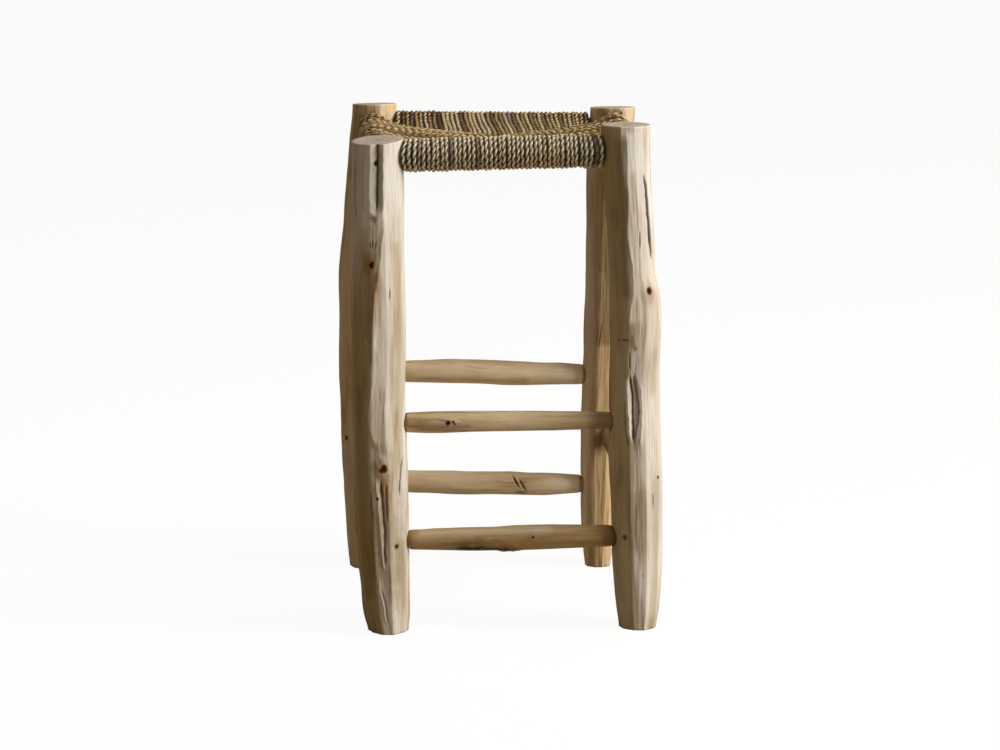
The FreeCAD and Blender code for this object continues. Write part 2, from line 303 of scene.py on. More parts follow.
def path_gap(path, turn, place, mean_radius):
    """Distance round the piece from a path, and 1 between its ends fading to 0 at them."""
    places, bearings = np.array(sorted(path)).T
    gap = around_gap(turn, np.interp(place, places, bearings), mean_radius)
    fade = min(PATH_FADE, np.ptp(places) / 2)
    inside = smoothstep(0, fade, place - places[0]) * smoothstep(0, fade, places[-1] - place)
    return gap, inside


def mark_wood(marks, turn, place, mean_radius, seed):
    """What the marks do to a surface: its change of height, how its grain is pushed
    aside, and how much of each tint every point has."""
    turn, place, mean_radius = turn / MM, place / MM, mean_radius / MM
    rise = np.zeros_like(turn)
    push = np.zeros_like(turn)
    tints = {name: np.zeros_like(turn) for name in TINTS}
    ragged = wander(joined(turn, place, 0.0), (4, 6, 1), seed + 91)
    for mark in marks:
        if isinstance(mark, (Groove, Ridge, Band)):
            gap, inside = path_gap(mark.path, turn, place, mean_radius)
            gap = gap + 0.6 * ragged
        else:
            across = around_gap(turn, mark.bearing, mean_radius)
            ahead = place - mark.place
        if isinstance(mark, Ridge):
            shape = np.exp(-np.abs(gap) / mark.width) * inside
            rise += mark.height * shape
            kind, amount = "pale", mark.pale * shape
        elif isinstance(mark, Groove):
            shape = np.clip(1 - np.abs(gap) / (mark.width * (0.35 + 0.65 * inside)), 0, 1)
            shape = shape * np.minimum(1, 2 * inside)
            rise -= mark.depth * shape
            kind, amount = "crack", mark.dark * np.sqrt(shape)
        elif isinstance(mark, Band):
            kind, amount = mark.kind, mark.strength * np.exp(-(gap / mark.width) ** 2) * inside
        elif isinstance(mark, Knot):
            distance = np.hypot(across, ahead / 1.25) / mark.radius * (1 + 0.3 * ragged)
            core = np.exp(-distance ** 2)
            rise += mark.rise * (np.exp(-(distance / 2.4) ** 2) - 0.7 * core)
            near = np.exp(-(across / (3.2 * mark.radius)) ** 2 - (ahead / (7 * mark.radius)) ** 2)
            push -= across * near
            kind, amount = "knot", mark.dark * np.clip(1.25 * core, 0, 1)
        else:
            soft = np.exp(-(across / mark.wide) ** 2 - (ahead / mark.tall) ** 2)
            kind, amount = mark.kind, np.clip(soft * (1.25 + 0.5 * ragged), 0, 1) * mark.strength
        tints[kind] = np.maximum(tints[kind], amount)
    return rise * MM, push * MM, tints


def scattered_marks(seed, low, high, knots, checks, avoid):
    """Small knots and drying checks on the sides of a piece that no picture shows."""
    rng = np.random.default_rng(seed)
    marks = []
    for number in range(knots + checks):
        place = rng.uniform(low, high)
        bearing = rng.uniform(avoid, 360 - avoid)
        if number < knots:
            radius = rng.uniform(2.8, 5.0)
            marks.append(Knot(place, bearing, radius, 1.0, rng.uniform(0.6, 0.95)))
            marks.append(Patch("stain", place - 10, bearing, 24, 9, 0.5))
        else:
            length = rng.uniform(20, 90)
            lean = rng.uniform(-7, 7)
            marks.append(Groove(((place, bearing), (place + length, bearing + lean)), 1.6, 1.2, 0.9))
    return marks


LEG_MARKS = dict(leg_front_left=[
    Band("pale", ((640, 46), (560, 42), (500, 46)), 17, 0.5),
    # Painted shade on the front of the lower leg
    Patch("brown", 110, 22, 90, 26, 0.38),
    Ridge(((636, 12), (523, 12), (470, 3), (435, -9), (334, -12), (282, -22), (244, -6)), 2.7, 7.5, 0.1),
    Groove(((640, -2), (600, -2), (540, -3)), 3, 8.5, 0),
    Groove(((640, 1), (600, 1), (547, -1)), 1.8, 2.1, 1),
    Band("brown", ((640, 5), (590, 5), (545, 3)), 4, 0.45),
    Band("pale", ((630, -8), (590, -9), (548, -9)), 2.2, 0.15),
    Band("brown", ((625, -33), (590, -35), (540, -33)), 3, 0.15),
    Band("pale", ((632, -26), (590, -28), (520, -26)), 5.5, 0.6),
    Groove(((606, -62), (535, -58)), 1.4, 3, 0.45),
    Knot(608, -3, 2.4, 1, 1),
    Knot(538.5, -9, 5, 2, 0.3),
    Groove(((512, -18), (498, -16)), 1.4, 1.1, 0.9),
    Groove(((514, -11), (498, -12)), 1.4, 1.1, 0.9),
    Groove(((512, -3), (498, -8)), 1.4, 1.1, 0.9),
    Band("brown", ((500, -14), (440, -20), (380, -22)), 7.5, 0.35),
    Knot(479.5, -14, 2.5, 1.2, 1),
    Knot(483.5, -10, 1.3, 0.6, 0.9),
    Patch("pale", 476, -10, 1.2, 1.1, 0.7),
    Patch("stain", 481, -15, 17, 9, 0.85),
    Patch("brown", 478, -22, 16, 8, 0.45),
    Patch("stain", 460, -7, 18, 6.2, 0.9),
    Band("stain", ((474, -7), (455, -7), (435, -11), (400, -15)), 3.4, 0.85),
    Groove(((452, 26), (433, 25)), 1.4, 1.1, 0.85),
    Band("brown", ((480, 26), (380, 20), (300, 22)), 9, 0.12),
    Band("brown", ((466, -12), (430, -13), (390, -17), (345, -15)), 2.2, 0.6),
    Ridge(((330, 14), (262, 12), (232, 16)), 1.6, 5, 0.2),
    Knot(220.5, 8, 3.4, 2.8, 1),
    Knot(217.8, 2, 2.2, 1.4, 0.85),
    Patch("pale", 233, 2, 9, 7, 0.45),
    Patch("stain", 222, -2, 10, 8.5, 0.7),
    Band("brown", ((216, 6), (199, 6), (178, 3)), 3.2, 0.8),
    Patch("stain", 205, 3, 30, 10, 0.45),
    Patch("stain", 145, 6, 60, 10, 0.28),
    Knot(181.2, -7, 1.3, 0.2, 0.9),
    Ridge(((207, -10), (185, -7), (148, -4), (104, -1), (84, 1)), 2.4, 2.4, 0.85),
    Groove(((205, 0), (167, 4), (141, 6), (91, 4)), 2.6, 2.1, 0.6),
    Groove(((202, 12), (180, 11), (150, 12)), 1.2, 1.4, 0.5),
    Groove(((192, -20), (173, -22), (150, -18)), 1.2, 1.4, 0.6),
    Groove(((236, 58), (209, 49), (180, 46)), 1.8, 1.3, 0.85),
    Ridge(((80, -10), (59, -11), (41, -4), (12, -1)), 1.6, 4, 0.25),
    Groove(((62, -7), (41, 0), (14, 3)), 1.4, 2, 0.45),
    Band("brown", ((330, -50), (220, -46), (120, -44), (40, -48)), 11, 0.4),
], leg_front_right=[
    Band("pale", ((640, 52), (480, 58), (300, 58), (140, 52), (10, 50)), 20, 0.22),
    Ridge(((648, -4), (609, -1), (584, -5), (559, -4), (540, -7), (521, -13), (496, -8), (471, -2),
            (446, -6), (420, -15), (395, -20)), 3, 7.5, 0.1),
    Groove(((578, -11), (563, -9), (550, -9)), 1, 2.4, 0.18),
    Band("brown", ((640, -18), (560, -20), (500, -22), (430, -26)), 9, 0.55),
    Band("brown", ((600, 8), (555, 7), (530, 6)), 5, 0.3),
    Groove(((592, 42), (570, 46), (545, 46), (513, 48), (480, 56)), 3.6, 2, 1),
    Ridge(((589, 49), (545, 51), (513, 53), (484, 60)), 1, 2.2, 0.5),
    Groove(((524, 18), (510, 18), (495, 16)), 1.6, 1.3, 0.6),
    Band("pale", ((528, 13), (490, 12)), 2.6, 0.55),
    Band("pale", ((430, 26), (400, 27), (365, 28)), 6, 0.45),
    Knot(443, 33, 3.2, 1.2, 1),
    Patch("stain", 438, 33, 12, 10, 0.45),
    Patch("crack", 380, -46, 1.3, 2, 0.8),
    Patch("crack", 380.8, -28, 1.1, 5, 0.75),
    Patch("stain", 376.5, -11, 8, 2.8, 0.85),
    Patch("crack", 370.6, -3, 2.2, 1.5, 0.9),
    Patch("crack", 385, -12, 2.6, 1.1, 0.7),
    Groove(((369, -17), (356, -16), (340, -14)), 2, 1.3, 0.85),
    Ridge(((336, -20), (305, -20), (286, -18), (250, -15)), 3.4, 2.6, 0.95),
    Groove(((338, -7), (312, -4), (292, -3), (273, -5), (250, -9)), 3, 4.8, 0.25),
    Groove(((338, -15), (320, -12), (309, -10), (286, -10), (248, -10)), 4.4, 1.8, 1),
    Groove(((338, -9), (315, 0), (292, 5), (273, 1), (249, -8)), 1.4, 1.1, 0.85),
    Ridge(((330, 8), (299, 12), (273, 10), (240, 4)), 1.8, 3.2, 0.3),
    Band("brown", ((268, -4), (232, -9)), 1.6, 0.6),
    Band("brown", ((262, 5), (222, -7)), 1.4, 0.5),
    Groove(((305, -27), (272, -27), (240, -20)), 1.4, 1.6, 0.55),
    Knot(202, 54, 1.6, 0.4, 0.8),
    Patch("stain", 150, 9, 55, 9, 0.32),
    Groove(((185, 37), (158, 40)), 1.2, 1.3, 0.7),
    Band("brown", ((190, -12), (140, -8), (100, 0)), 9, 0.3),
    Band("brown", ((120, 3), (80, 5)), 3, 0.3),
    Patch("crack", 75, 9, 2.2, 1, 0.6),
    Patch("brown", 330, 6, 40, 10, 0.22),
    Patch("brown", 535, -40, 24, 9, 0.45),
    Patch("brown", 470, -46, 34, 8, 0.35),
], leg_back_left=[
    Groove(((642, 2), (620, -4)), 1.2, 1.2, 0.8),
    Patch("stain", 628, -2, 8, 4, 0.8),
    Band("brown", ((640, -40), (590, -42), (540, -44)), 14, 0.6),
    Ridge(((630, -30), (450, -40), (200, -34), (20, -38)), 2, 10, 0.05),
], leg_back_right=[
    Ridge(((420, -30), (330, -22), (200, -30), (50, -26)), 2.2, 8, 0.1),
    Groove(((350, -14), (310, -22)), 1, 1.4, 0.4),
    Patch("stain", 628, -12, 12, 12, 0.6),
    Patch("pale", 640, 12, 20, 20, 0.3),
    # Painted shade on the front, where this leg stands behind the front right one
    Band("brown", ((560, 2), (500, 2), (400, 0), (310, -2)), 16, 0.72),
    # Painted light on the shaded left side
    Band("pale", ((600, -62), (400, -62), (200, -60), (50, -60)), 14, 0.42),
    Patch("stain", 250, 0, 80, 18, 0.25),
    Patch("brown", 180, -10, 16, 8.5, 0.85),
    Patch("brown", 200, -4, 10, 5, 0.5),
    Knot(633, 18, 1.5, 0.3, 0.8),
])

# Each leg's own noise
LEG_SEEDS = {"leg_front_left": 11, "leg_front_right": 23, "leg_back_left": 37, "leg_back_right": 53}

# The side of each leg that is painted darker, as shade: its middle, half its width,
# and its strength at the foot and at the top
LEG_SHADED_SIDE = {"leg_front_left": (-75, 59, 0.95, 0.32), "leg_front_right": (-75, 60, 0.76, 0.92),
               "leg_back_left": (-90, 58, 0.2, 0.4), "leg_back_right": (-5, 38, 0.45, 0.45)}
FACETED_BELOW = 0.2        # the feet keep their hewn facets most
FACET_SHARE = 0.45         # how much of the facets is left higher up

RUNG_MARKS = dict(rung_front_upper=[
    Knot(74.5, 6, 2.4, 1.2, 1),
    Knot(81, 10, 1.6, 0.6, 0.8),
    Knot(83, 0, 1.3, 0.4, 0.8),
    Patch("pale", 68.5, 8, 4.2, 2.4, 0.75),
    Patch("pale", 77.5, 3, 1.4, 1.2, 0.6),
    Patch("brown", 64, -14, 42, 9.5, 0.45),
    Groove(((56, 26), (64, 18), (78, 14)), 1.4, 1, 0.55),
    Band("brown", ((10, -10), (60, -16), (110, -12)), 4, 0.55),
    Band("brown", ((80, -48), (160, -52), (220, -50)), 3.2, 0.45),
    Patch("crack", 150, -20, 1.2, 1, 0.6),
    Band("brown", ((-20, -16), (310, -16)), 22, 0.17),
], rung_front_lower=[
    Band("brown", ((-20, -16), (310, -16)), 22, 0.42),
    Patch("brown", 110, -10, 40, 10, 0.72),
    Patch("crack", 151, -86, 6, 5, 1),
    Patch("crack", 100, -42, 22, 4.4, 1),
    Patch("crack", 125, -52, 30, 4, 0.9),
    Patch("crack", 85, -14, 30, 3, 0.45),
    Patch("stain", 140, -20, 40, 6, 0.45),
    Knot(179, 14, 1.6, 0.8, 0.6),
    Band("brown", ((20, 6), (90, 2), (150, 6)), 4.5, 0.4),
    Band("pale", ((30, 48), (120, 50), (210, 46)), 4, 0.4),
    Knot(149, -80, 3.4, 3, 1),
], rung_back_upper=[
    Groove(((120, 40), (160, 20)), 0.6, 1.2, 0.3),
    Patch("crack", 20, 0, 8, 1.6, 0.5),
    # Painted light on the right end, which the back right leg shades
    Patch("pale", 262, 10, 22, 14, 0.3),
    Band("brown", ((60, -30), (140, -34), (220, -26)), 4, 0.25),
], rung_back_lower=[
    Groove(((188, 60), (193.5, 26), (200, -14)), 3.6, 3.2, 0.9),
    Band("brown", ((188, 60), (193.5, 26), (200, -14)), 3.2, 0.9),
    Groove(((197, 50), (202.5, 10), (210, -38)), 3.2, 3, 0.9),
    Band("brown", ((197, 50), (202.5, 10), (210, -38)), 3, 0.9),
    Band("pale", ((192.8, 52), (198, 16), (205, -26)), 1.8, 0.8),
    Patch("brown", 201, -40, 7, 3, 0.7),
    # Painted light on the right end, which the back right leg shades
    Patch("pale", 262, 10, 22, 14, 0.3),
    Patch("stain", 202, 6, 14, 8, 0.35),
], rung_left=[], rung_right=[
    # Painted shade along the flank that faces into the stool, away from the light
    Band("brown", ((-20, 170), (420, 170)), 22, 0.92),
])

RUNG_WEATHER = {"rung_front_upper": 0.18, "rung_front_lower": 0.68}

# How dark each rung is painted at its first and last end, as shade where it meets a leg
RUNG_END_SHADE = {"rung_front_upper": (0.15, 0.78), "rung_front_lower": (0.6, 0.88),
             "rung_back_upper": (0.1, 0.05), "rung_back_lower": (0.1, 0.05),
             "rung_left": (0.4, 0.4), "rung_right": (0.85, 0.95)}
RUNG_SEEDS = {name: 101 + 7 * number for number, name in enumerate(RUNGS)}


# Shader nodes

def feed(tree, socket, value):
    """Links a socket, or sets it to a number, a vector or a colour."""
    if isinstance(value, bpy.types.NodeSocket):
        tree.links.new(value, socket)
    else:
        socket.default_value = (*value, 1.0) if socket.type == "RGBA" else value


def node(tree, kind, inputs=None, **settings):
    made = tree.nodes.new(kind)
    for name, value in settings.items():
        setattr(made, name, value)
    for key, value in (inputs or {}).items():
        feed(tree, made.inputs[key], value)
    return made


def new_material(name):
    material = bpy.data.materials.new(name)
    material.use_nodes = True
    return material, material.node_tree


def attribute(tree, name):
    return node(tree, "ShaderNodeAttribute", attribute_name=name).outputs["Vector"]


def three_parts(tree, name):
    """The three numbers of an attribute."""
    return node(tree, "ShaderNodeSeparateXYZ", {0: attribute(tree, name)}).outputs


def stretched(tree, vector, scale):
    product = node(tree, "ShaderNodeVectorMath", {0: vector, 1: scale}, operation="MULTIPLY")
    return product.outputs["Vector"]


def noise(tree, place, scale, along=1.0, detail=3.0, roughness=0.55, distortion=0.0):
    """Noise whose scale along the piece is a share of its scale across."""
    if along != 1.0:
        place = stretched(tree, place, (1, 1, along))
    made = node(tree, "ShaderNodeTexNoise", {"Vector": place, "Scale": scale, "Detail": detail,
                                             "Roughness": roughness, "Distortion": distortion})
    return made.outputs["Fac"]


def math_node(tree, operation, first, second=0.0):
    return node(tree, "ShaderNodeMath", {0: first, 1: second}, operation=operation).outputs[0]


def weighted(tree, *parts):
    """The sum of values, each times its weight."""
    products = [math_node(tree, "MULTIPLY", value, weight) for value, weight in parts]
    total = products[0]
    for product in products[1:]:
        total = math_node(tree, "ADD", total, product)
    return total


def ramp(tree, value, stops):
    """A colour for each value; stops are pairs of place and colour."""
    made = node(tree, "ShaderNodeValToRGB", {"Fac": value})
    while len(made.color_ramp.elements) < len(stops):
        made.color_ramp.elements.new(1.0)
    for element, (place, colour) in zip(made.color_ramp.elements, stops):
        element.position = place
        element.color = (*colour, 1.0)
    return made.outputs["Color"]


def mixed(tree, share, first, second, blend="MIX"):
    made = node(tree, "ShaderNodeMix", {0: share, 6: first, 7: second}, data_type="RGBA", blend_type=blend)
    return made.outputs[2]


def mapped(tree, value, low, high, to_low, to_high):
    made = node(tree, "ShaderNodeMapRange", {"Value": value, "From Min": low, "From Max": high,
                                             "To Min": to_low, "To Max": to_high})
    return made.outputs["Result"]


def covered(tree, colour, cover, value, low, high, most=1.0):
    """A colour, covered more by another as a value goes from low to high."""
    return mixed(tree, mapped(tree, value, low, high, 0.0, most), colour, cover)


def finish(tree, colour, roughness, specular, height, strength, depth):
    """Feeds a material's shader, with a bump of a strength and a depth."""
    bump = node(tree, "ShaderNodeBump", {"Height": height, "Strength": strength, "Distance": depth})
    inputs = tree.nodes["Principled BSDF"].inputs
    for name, value in (("Base Color", colour), ("Roughness", roughness),
                        ("Specular IOR Level", specular), ("Normal", bump.outputs["Normal"])):
        feed(tree, inputs[name], value)


KNOT_HALO, KNOT_MIDDLE, KNOT_CORE = (0.32, 0.15, 0.055), (0.105, 0.035, 0.015), (0.022, 0.01, 0.006)
CRACK_AND_SHADE_COLOUR = (0.034, 0.02, 0.01)
STAIN_COLOUR = (0.36, 0.2, 0.065)
# Pale and brown also serve as painted light and painted shade in some marks
PALE_AND_PAINTED_LIGHT_COLOUR = (0.81, 0.775, 0.705)
BROWN_AND_SHADE_COLOUR = (0.2, 0.12, 0.055)
PINK_COLOUR = (0.62, 0.43, 0.32)
# Multiplied into weathered wood, and into the legs' shaded sides as painted shade
WEATHER_AND_SHADE_TINT = (0.53, 0.42, 0.21)

# Fibres, streaks, bands, broad shades, scratches, blush and blotches in wood: the
# scale of each, its share along the piece, and its detail, roughness and distortion
WOOD_NOISES = ((950, 0.035, 3.0, 0.6), (210, 0.05, 4.0, 0.6, 0.4), (62, 0.12, 3.0, 0.5, 0.6), (19, 0.35),
               (1900, 0.02, 2.0, 0.5), (31, 0.3), (75, 0.6, 4.0, 0.65))


def wood(name, pale, middle, dark):
    """Peeled and hewn wood, its fibres along the piece, with knots, cracks and stains, and the painted light
    and shade that some marks carry.
    """
    material, tree = new_material(name)
    grain = attribute(tree, "grain")
    knot, crack, stain = three_parts(tree, "mark")
    paleness_and_painted_light, brownness_and_shade, wear_and_shade = three_parts(tree, "shade")
    noises = [noise(tree, grain, *sizes) for sizes in WOOD_NOISES]
    fibre, streak, band, broad, scratch, blush, blotch = noises
    tone = weighted(tree, (streak, 0.26), (band, 0.3), (broad, 0.34), (fibre, 0.1))
    colour = ramp(tree, tone, ((0.39, dark), (0.46, middle), (0.535, pale)))
    colour = covered(tree, colour, dark, scratch, 0.6, 0.72, 0.25)
    colour = covered(tree, colour, mixed(tree, 0.5, PINK_COLOUR, middle), blush, 0.5, 0.66, 0.38)
    colour = covered(tree, colour, middle, blotch, 0.58, 0.74, 0.45)
    # Weathered wood, and the painted shade of the legs' shaded sides
    worn = mixed(tree, 1.0, colour, WEATHER_AND_SHADE_TINT, "MULTIPLY")
    for share, cover in ((wear_and_shade, worn), (paleness_and_painted_light, PALE_AND_PAINTED_LIGHT_COLOUR), (brownness_and_shade, BROWN_AND_SHADE_COLOUR),
                         (stain, STAIN_COLOUR)):
        colour = mixed(tree, share, colour, cover)
    knot = math_node(tree, "MULTIPLY", knot, mapped(tree, blotch, 0.3, 0.7, 0.85, 1.12))
    knot_colour = ramp(tree, knot, ((0.18, KNOT_HALO), (0.5, KNOT_MIDDLE), (0.85, KNOT_CORE)))
    colour = covered(tree, colour, knot_colour, knot, 0.08, 0.42)
    # The crack tint also paints the shade round the tenon holes
    colour = covered(tree, colour, CRACK_AND_SHADE_COLOUR, crack, 0.0, 1.0, 0.96)
    height = weighted(tree, (fibre, 0.55), (streak, 0.9), (blotch, 0.5))
    finish(tree, colour, mapped(tree, streak, 0.3, 0.7, 0.58, 0.76), 0.05, height, 0.7, 0.0006)
    return material


def sawn_end(name, pale, middle, dark):
    """The sawn end of a leg: growth rings, rays and the marks of the saw."""
    material, tree = new_material(name)
    grain = attribute(tree, "grain")
    flat = stretched(tree, grain, (1, 1, 0))
    distance = node(tree, "ShaderNodeVectorMath", {0: flat}, operation="LENGTH").outputs["Value"]
    bent = noise(tree, flat, 55, detail=2.0)
    rings = math_node(tree, "SINE", weighted(tree, (distance, 2100), (bent, 9.0)))
    saw = noise(tree, stretched(tree, grain, (0.12, 1.0, 0)), 1100)
    blotch = noise(tree, flat, 130, detail=4.0, roughness=0.6)
    tone = weighted(tree, (blotch, 0.7), (saw, 0.3))
    colour = ramp(tree, tone, ((0.36, dark), (0.5, middle), (0.66, pale)))
    colour = covered(tree, colour, dark, rings, 0.1, 1.0, 0.3)
    colour = covered(tree, colour, dark, distance, 0.012, 0.0, 0.4)
    colour = mixed(tree, three_parts(tree, "mark")[1], colour, CRACK_AND_SHADE_COLOUR)
    finish(tree, colour, 0.78, 0.25, weighted(tree, (saw, 0.8), (rings, 0.12)), 0.7, 0.0005)
    return material


def leaf_cord(name, shadow, reddish, brown, straw, pale, ochre):
    """Twisted palm leaf: long fibres, dry creases and strands of unlike colours, with the painted shade that
    each point carries.
    """
    material, tree = new_material(name)
    place = attribute(tree, "fibre")
    strand_tone, tint, dark = three_parts(tree, "strand")
    fibre = noise(tree, place, 2300, 0.06, 2.0)
    patch = noise(tree, place, 190, 0.45, 3.0, 0.6)
    crease_and_gap_shade = noise(tree, place, 800, 0.1, 2.0, 0.5)
    tone = weighted(tree, (strand_tone, 1.0), (patch, 0.75), (fibre, 0.45))
    tone = math_node(tree, "SUBTRACT", tone, 0.6)
    colour = ramp(tree, tone, ((0.08, brown), (0.42, straw), (0.8, pale)))
    colour = covered(tree, colour, reddish, tint, 0.0, 1.0)
    warm = mixed(tree, 1.0, colour, ochre, "MULTIPLY")
    colour = covered(tree, colour, warm, tint, 0.0, -1.0)
    colour = covered(tree, colour, shadow, crease_and_gap_shade, 0.56, 0.7, 0.6)
    # Painted shade that each point carries
    colour = mixed(tree, dark, colour, shadow)
    height = weighted(tree, (fibre, 1.0), (crease_and_gap_shade, 1.2))
    finish(tree, colour, mapped(tree, fibre, 0.3, 0.7, 0.42, 0.66), 0.05, height, 0.8, 0.0004)
    return material


def old_iron(name):
    """Dark iron with a little rust."""
    material, tree = new_material(name)
    place = node(tree, "ShaderNodeTexCoord").outputs["Object"]
    rust = noise(tree, place, 900, detail=4.0, roughness=0.65)
    colour = ramp(tree, rust, ((0.4, (0.018, 0.017, 0.018)), (0.62, (0.075, 0.042, 0.026))))
    tree.nodes["Principled BSDF"].inputs["Metallic"].default_value = 0.75
    finish(tree, colour, mapped(tree, rust, 0.3, 0.7, 0.45, 0.8), 0.5, rust, 0.5, 0.0003)
    return material


FRONT_WOOD = wood("front_leg_wood", (0.81, 0.762, 0.68), (0.71, 0.62, 0.5), (0.46, 0.34, 0.21))
BACK_WOOD = wood("back_leg_wood", (0.84, 0.66, 0.42), (0.72, 0.52, 0.29), (0.46, 0.29, 0.135))
RUNG_WOOD = wood("rung_wood", (0.93, 0.76, 0.5), (0.8, 0.61, 0.365), (0.5, 0.345, 0.175))
SAWN = sawn_end("sawn_wood", (0.61, 0.53, 0.445), (0.5, 0.415, 0.34), (0.33, 0.25, 0.185))
# The seat rails are painted nearly black, as shade, so the gaps between strands stay dark
RAIL_SHADE_WOOD = wood("rail_wood", (0.1, 0.065, 0.032), (0.07, 0.042, 0.02), (0.042, 0.024, 0.011))
CORD = leaf_cord("leaf_cord", (0.014, 0.009, 0.004), (0.17, 0.07, 0.038), (0.23, 0.15, 0.07),
                 (0.58, 0.45, 0.27), (0.97, 0.88, 0.7), (1.0, 0.78, 0.4))
IRON = old_iron("old_iron")


# Round pieces of wood

GRAIN_SHIFT = 0.37         # each piece's seed moves it this far in the wood's noise


def unrolled(rows, bearings, mean_radius, first, second):
    """Each point's place along and its distance round, and where it would lie on an
    even, straight piece."""
    place = np.repeat(rows[:, None], len(bearings), axis=1)
    turn = np.repeat(mean_radius * bearings[None, :], len(rows), axis=0)
    return place, turn, mean_radius * spokes(bearings, first, second) + place[..., None] * UP


def grain_place(turn, place, mean_radius, seed):
    """Where each point lies in the wood's grain."""
    bearing = turn / mean_radius
    around = joined(mean_radius * np.cos(bearing), mean_radius * np.sin(bearing), place)
    return around + GRAIN_SHIFT * seed


# Legs

# Layers of unevenness: height, size across and size along
LEG_UNEVEN = ((0.0016, 0.045, 0.13), (0.0009, 0.016, 0.075), (0.0005, 0.007, 0.03))
LEG_FIBRES = ((0.00022, 0.0022, 0.035), (0.00012, 0.0014, 0.012))
LEG_SLICES = 90            # slices of the solid that give a leg its outline
LEG_EVEN_ROWS = 400        # even rows on which the outline is smoothed
OUTLINE_BLUR, LINE_BLUR = 4, 8         # how much it is smoothed along, in those rows
MORTISE_CLEAR = 0.0125     # slices nearer than this to a bar's line are left out
MOUTH_DEPTH = 0.005        # how far a leg's skin sinks where a tenon goes in
MOUTH_EDGE = (0.0126, 0.0108) # outside and inside of that hole's edge
# The dark line round a tenon's hole is painted shade
MOUTH_SHADE = (0.0142, 0.0112) # the same for the dark line round it
NAIL_PIT = 0.001           # how far the skin sinks round a nail's head
NAIL_EDGE = (0.0034, 0.0024)
NAIL_SHADE = (0.006, 0.0022)
NAIL_CALM = (0.004, 0.012) # the skin is even round a nail's head
TOP_SLOPE = (0.55, 1.0)    # the part of a leg over which its rows take the top's slope
RIM = 0.001                # how far a sawn edge is worn back
RIM_SHARE = RIM / 0.03     # the same, as a share of a leg's radius
SAWN_CHECKS = 4            # cracks that run out from the middle of a sawn end


def joints_of(leg_low, leg_high):
    """The ends of bars that lie inside a leg, and which way each bar leaves it."""
    middle = (np.array(leg_low) + np.array(leg_high)) / 2
    reach = 0.06
    found = []
    for name, (first, last) in BARS.items():
        axis = (last - first) / np.linalg.norm(last - first)
        for point, way in ((first, axis), (last, -axis)):
            if np.abs(point[:2] - middle[:2]).max() < reach:
                found.append((point, way))
    return found


def leg_rows(bottom, top, joints):
    """Heights of a leg's rows, closer together where a bar meets it."""
    fine = np.linspace(bottom, top, 4000)
    step = np.full_like(fine, LEG_STEP)
    for point, way in joints:
        step = np.where(np.abs(fine - point[2]) < JOINT_REACH, LEG_FINE_STEP, step)
    count = np.concatenate(([0], np.cumsum(np.diff(fine) / step[1:])))
    return np.interp(np.linspace(0, count[-1], int(count[-1])), count, fine)


def top_face(points, name):
    """The middle and the slope of a leg's sawn top."""
    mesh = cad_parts[name].data
    highest = points[:, 2].max()
    best = None
    for face in mesh.polygons:
        if face.normal.z > 0.9 and face.center.z > highest - 0.01:
            if best is None or face.area > best.area:
                best = face
    return np.array(best.center), np.array(best.normal)


def cap(rim, middle, slope, seed, side):
    """A sawn end, from just inside the rim to the middle, with its grain place, marks
    and shades. side is 1 for a top."""
    centre = middle[0] * FRONT + middle[1] * RIGHT
    rim_offset = rim[:, :2] - centre[:2]
    inner_shares = np.linspace(1 - 2.2 * RIM_SHARE, 0.02, CAP_ROWS - 1)
    shares = np.concatenate(((1 - RIM_SHARE,), inner_shares))
    offset = shares[:, None, None] * rim_offset
    height = (rim[:, 2] - rim_offset @ slope).mean() + offset @ slope
    height[1:] += side * 0.35 * RIM
    surface = joined(*np.moveaxis(centre[:2] + offset, -1, 0), height)
    saw = wander(surface * (1, 1, 0), (0.012, 0.0016, 1), seed)
    surface[1:, :, 2] += 0.00016 * saw[1:]
    grain = surface - centre
    angles = np.arctan2(grain[..., 1], grain[..., 0])
    distance = np.hypot(grain[..., 0], grain[..., 1])
    rng = np.random.default_rng(seed)
    crack = np.zeros_like(distance)
    for check in range(SAWN_CHECKS):
        bearing = rng.uniform(-math.pi, math.pi)
        length = rng.uniform(0.01, 0.026)
        gap = np.abs((angles - bearing + math.pi) % (2 * math.pi) - math.pi) * distance
        gap = gap + 0.0006 * wander(surface, (0.004, 0.004, 1), seed + check)
        shape = np.clip(1 - gap / 0.0007, 0, 1) * smoothstep(length, length * 0.6, distance)
        crack = np.maximum(crack, shape)
    surface[..., 2] -= side * 0.0008 * crack
    mark = joined(0.0, 0.85 * crack, 0.0)
    return surface, grain, mark, 0 * mark


def leg_surface(middle, radius, ways, height):
    line = middle[:, None, 0:1] * FRONT + middle[:, None, 1:2] * RIGHT
    return line + radius[..., None] * ways + height[..., None] * UP


def leg_shade_and_wear(name, bearings, place, straight, seed):
    """How dark each point of a leg is painted: its shaded side as painted shade, and weathered patches
    elsewhere.
    """
    side, half, low_strength, high_strength = LEG_SHADED_SIDE[name]
    strength = between(low_strength, high_strength, smoothstep(0.38, 0.56, place))
    away = np.abs(np.degrees(bearings) - side) + relief(straight, ((9, 0.02, 0.09),), seed + 8)
    edge = away + relief(straight, ((4, 0.005, 0.03),), seed + 9)
    # The shaded side, painted darker as shade
    worn = strength * smoothstep(half + 7, half - 5, edge)
    patches = 0.45 * smoothstep(0.15, 0.6, wander(straight, (0.022, 0.022, 0.085), seed + 10))
    return np.maximum(worn, patches * (away > half))


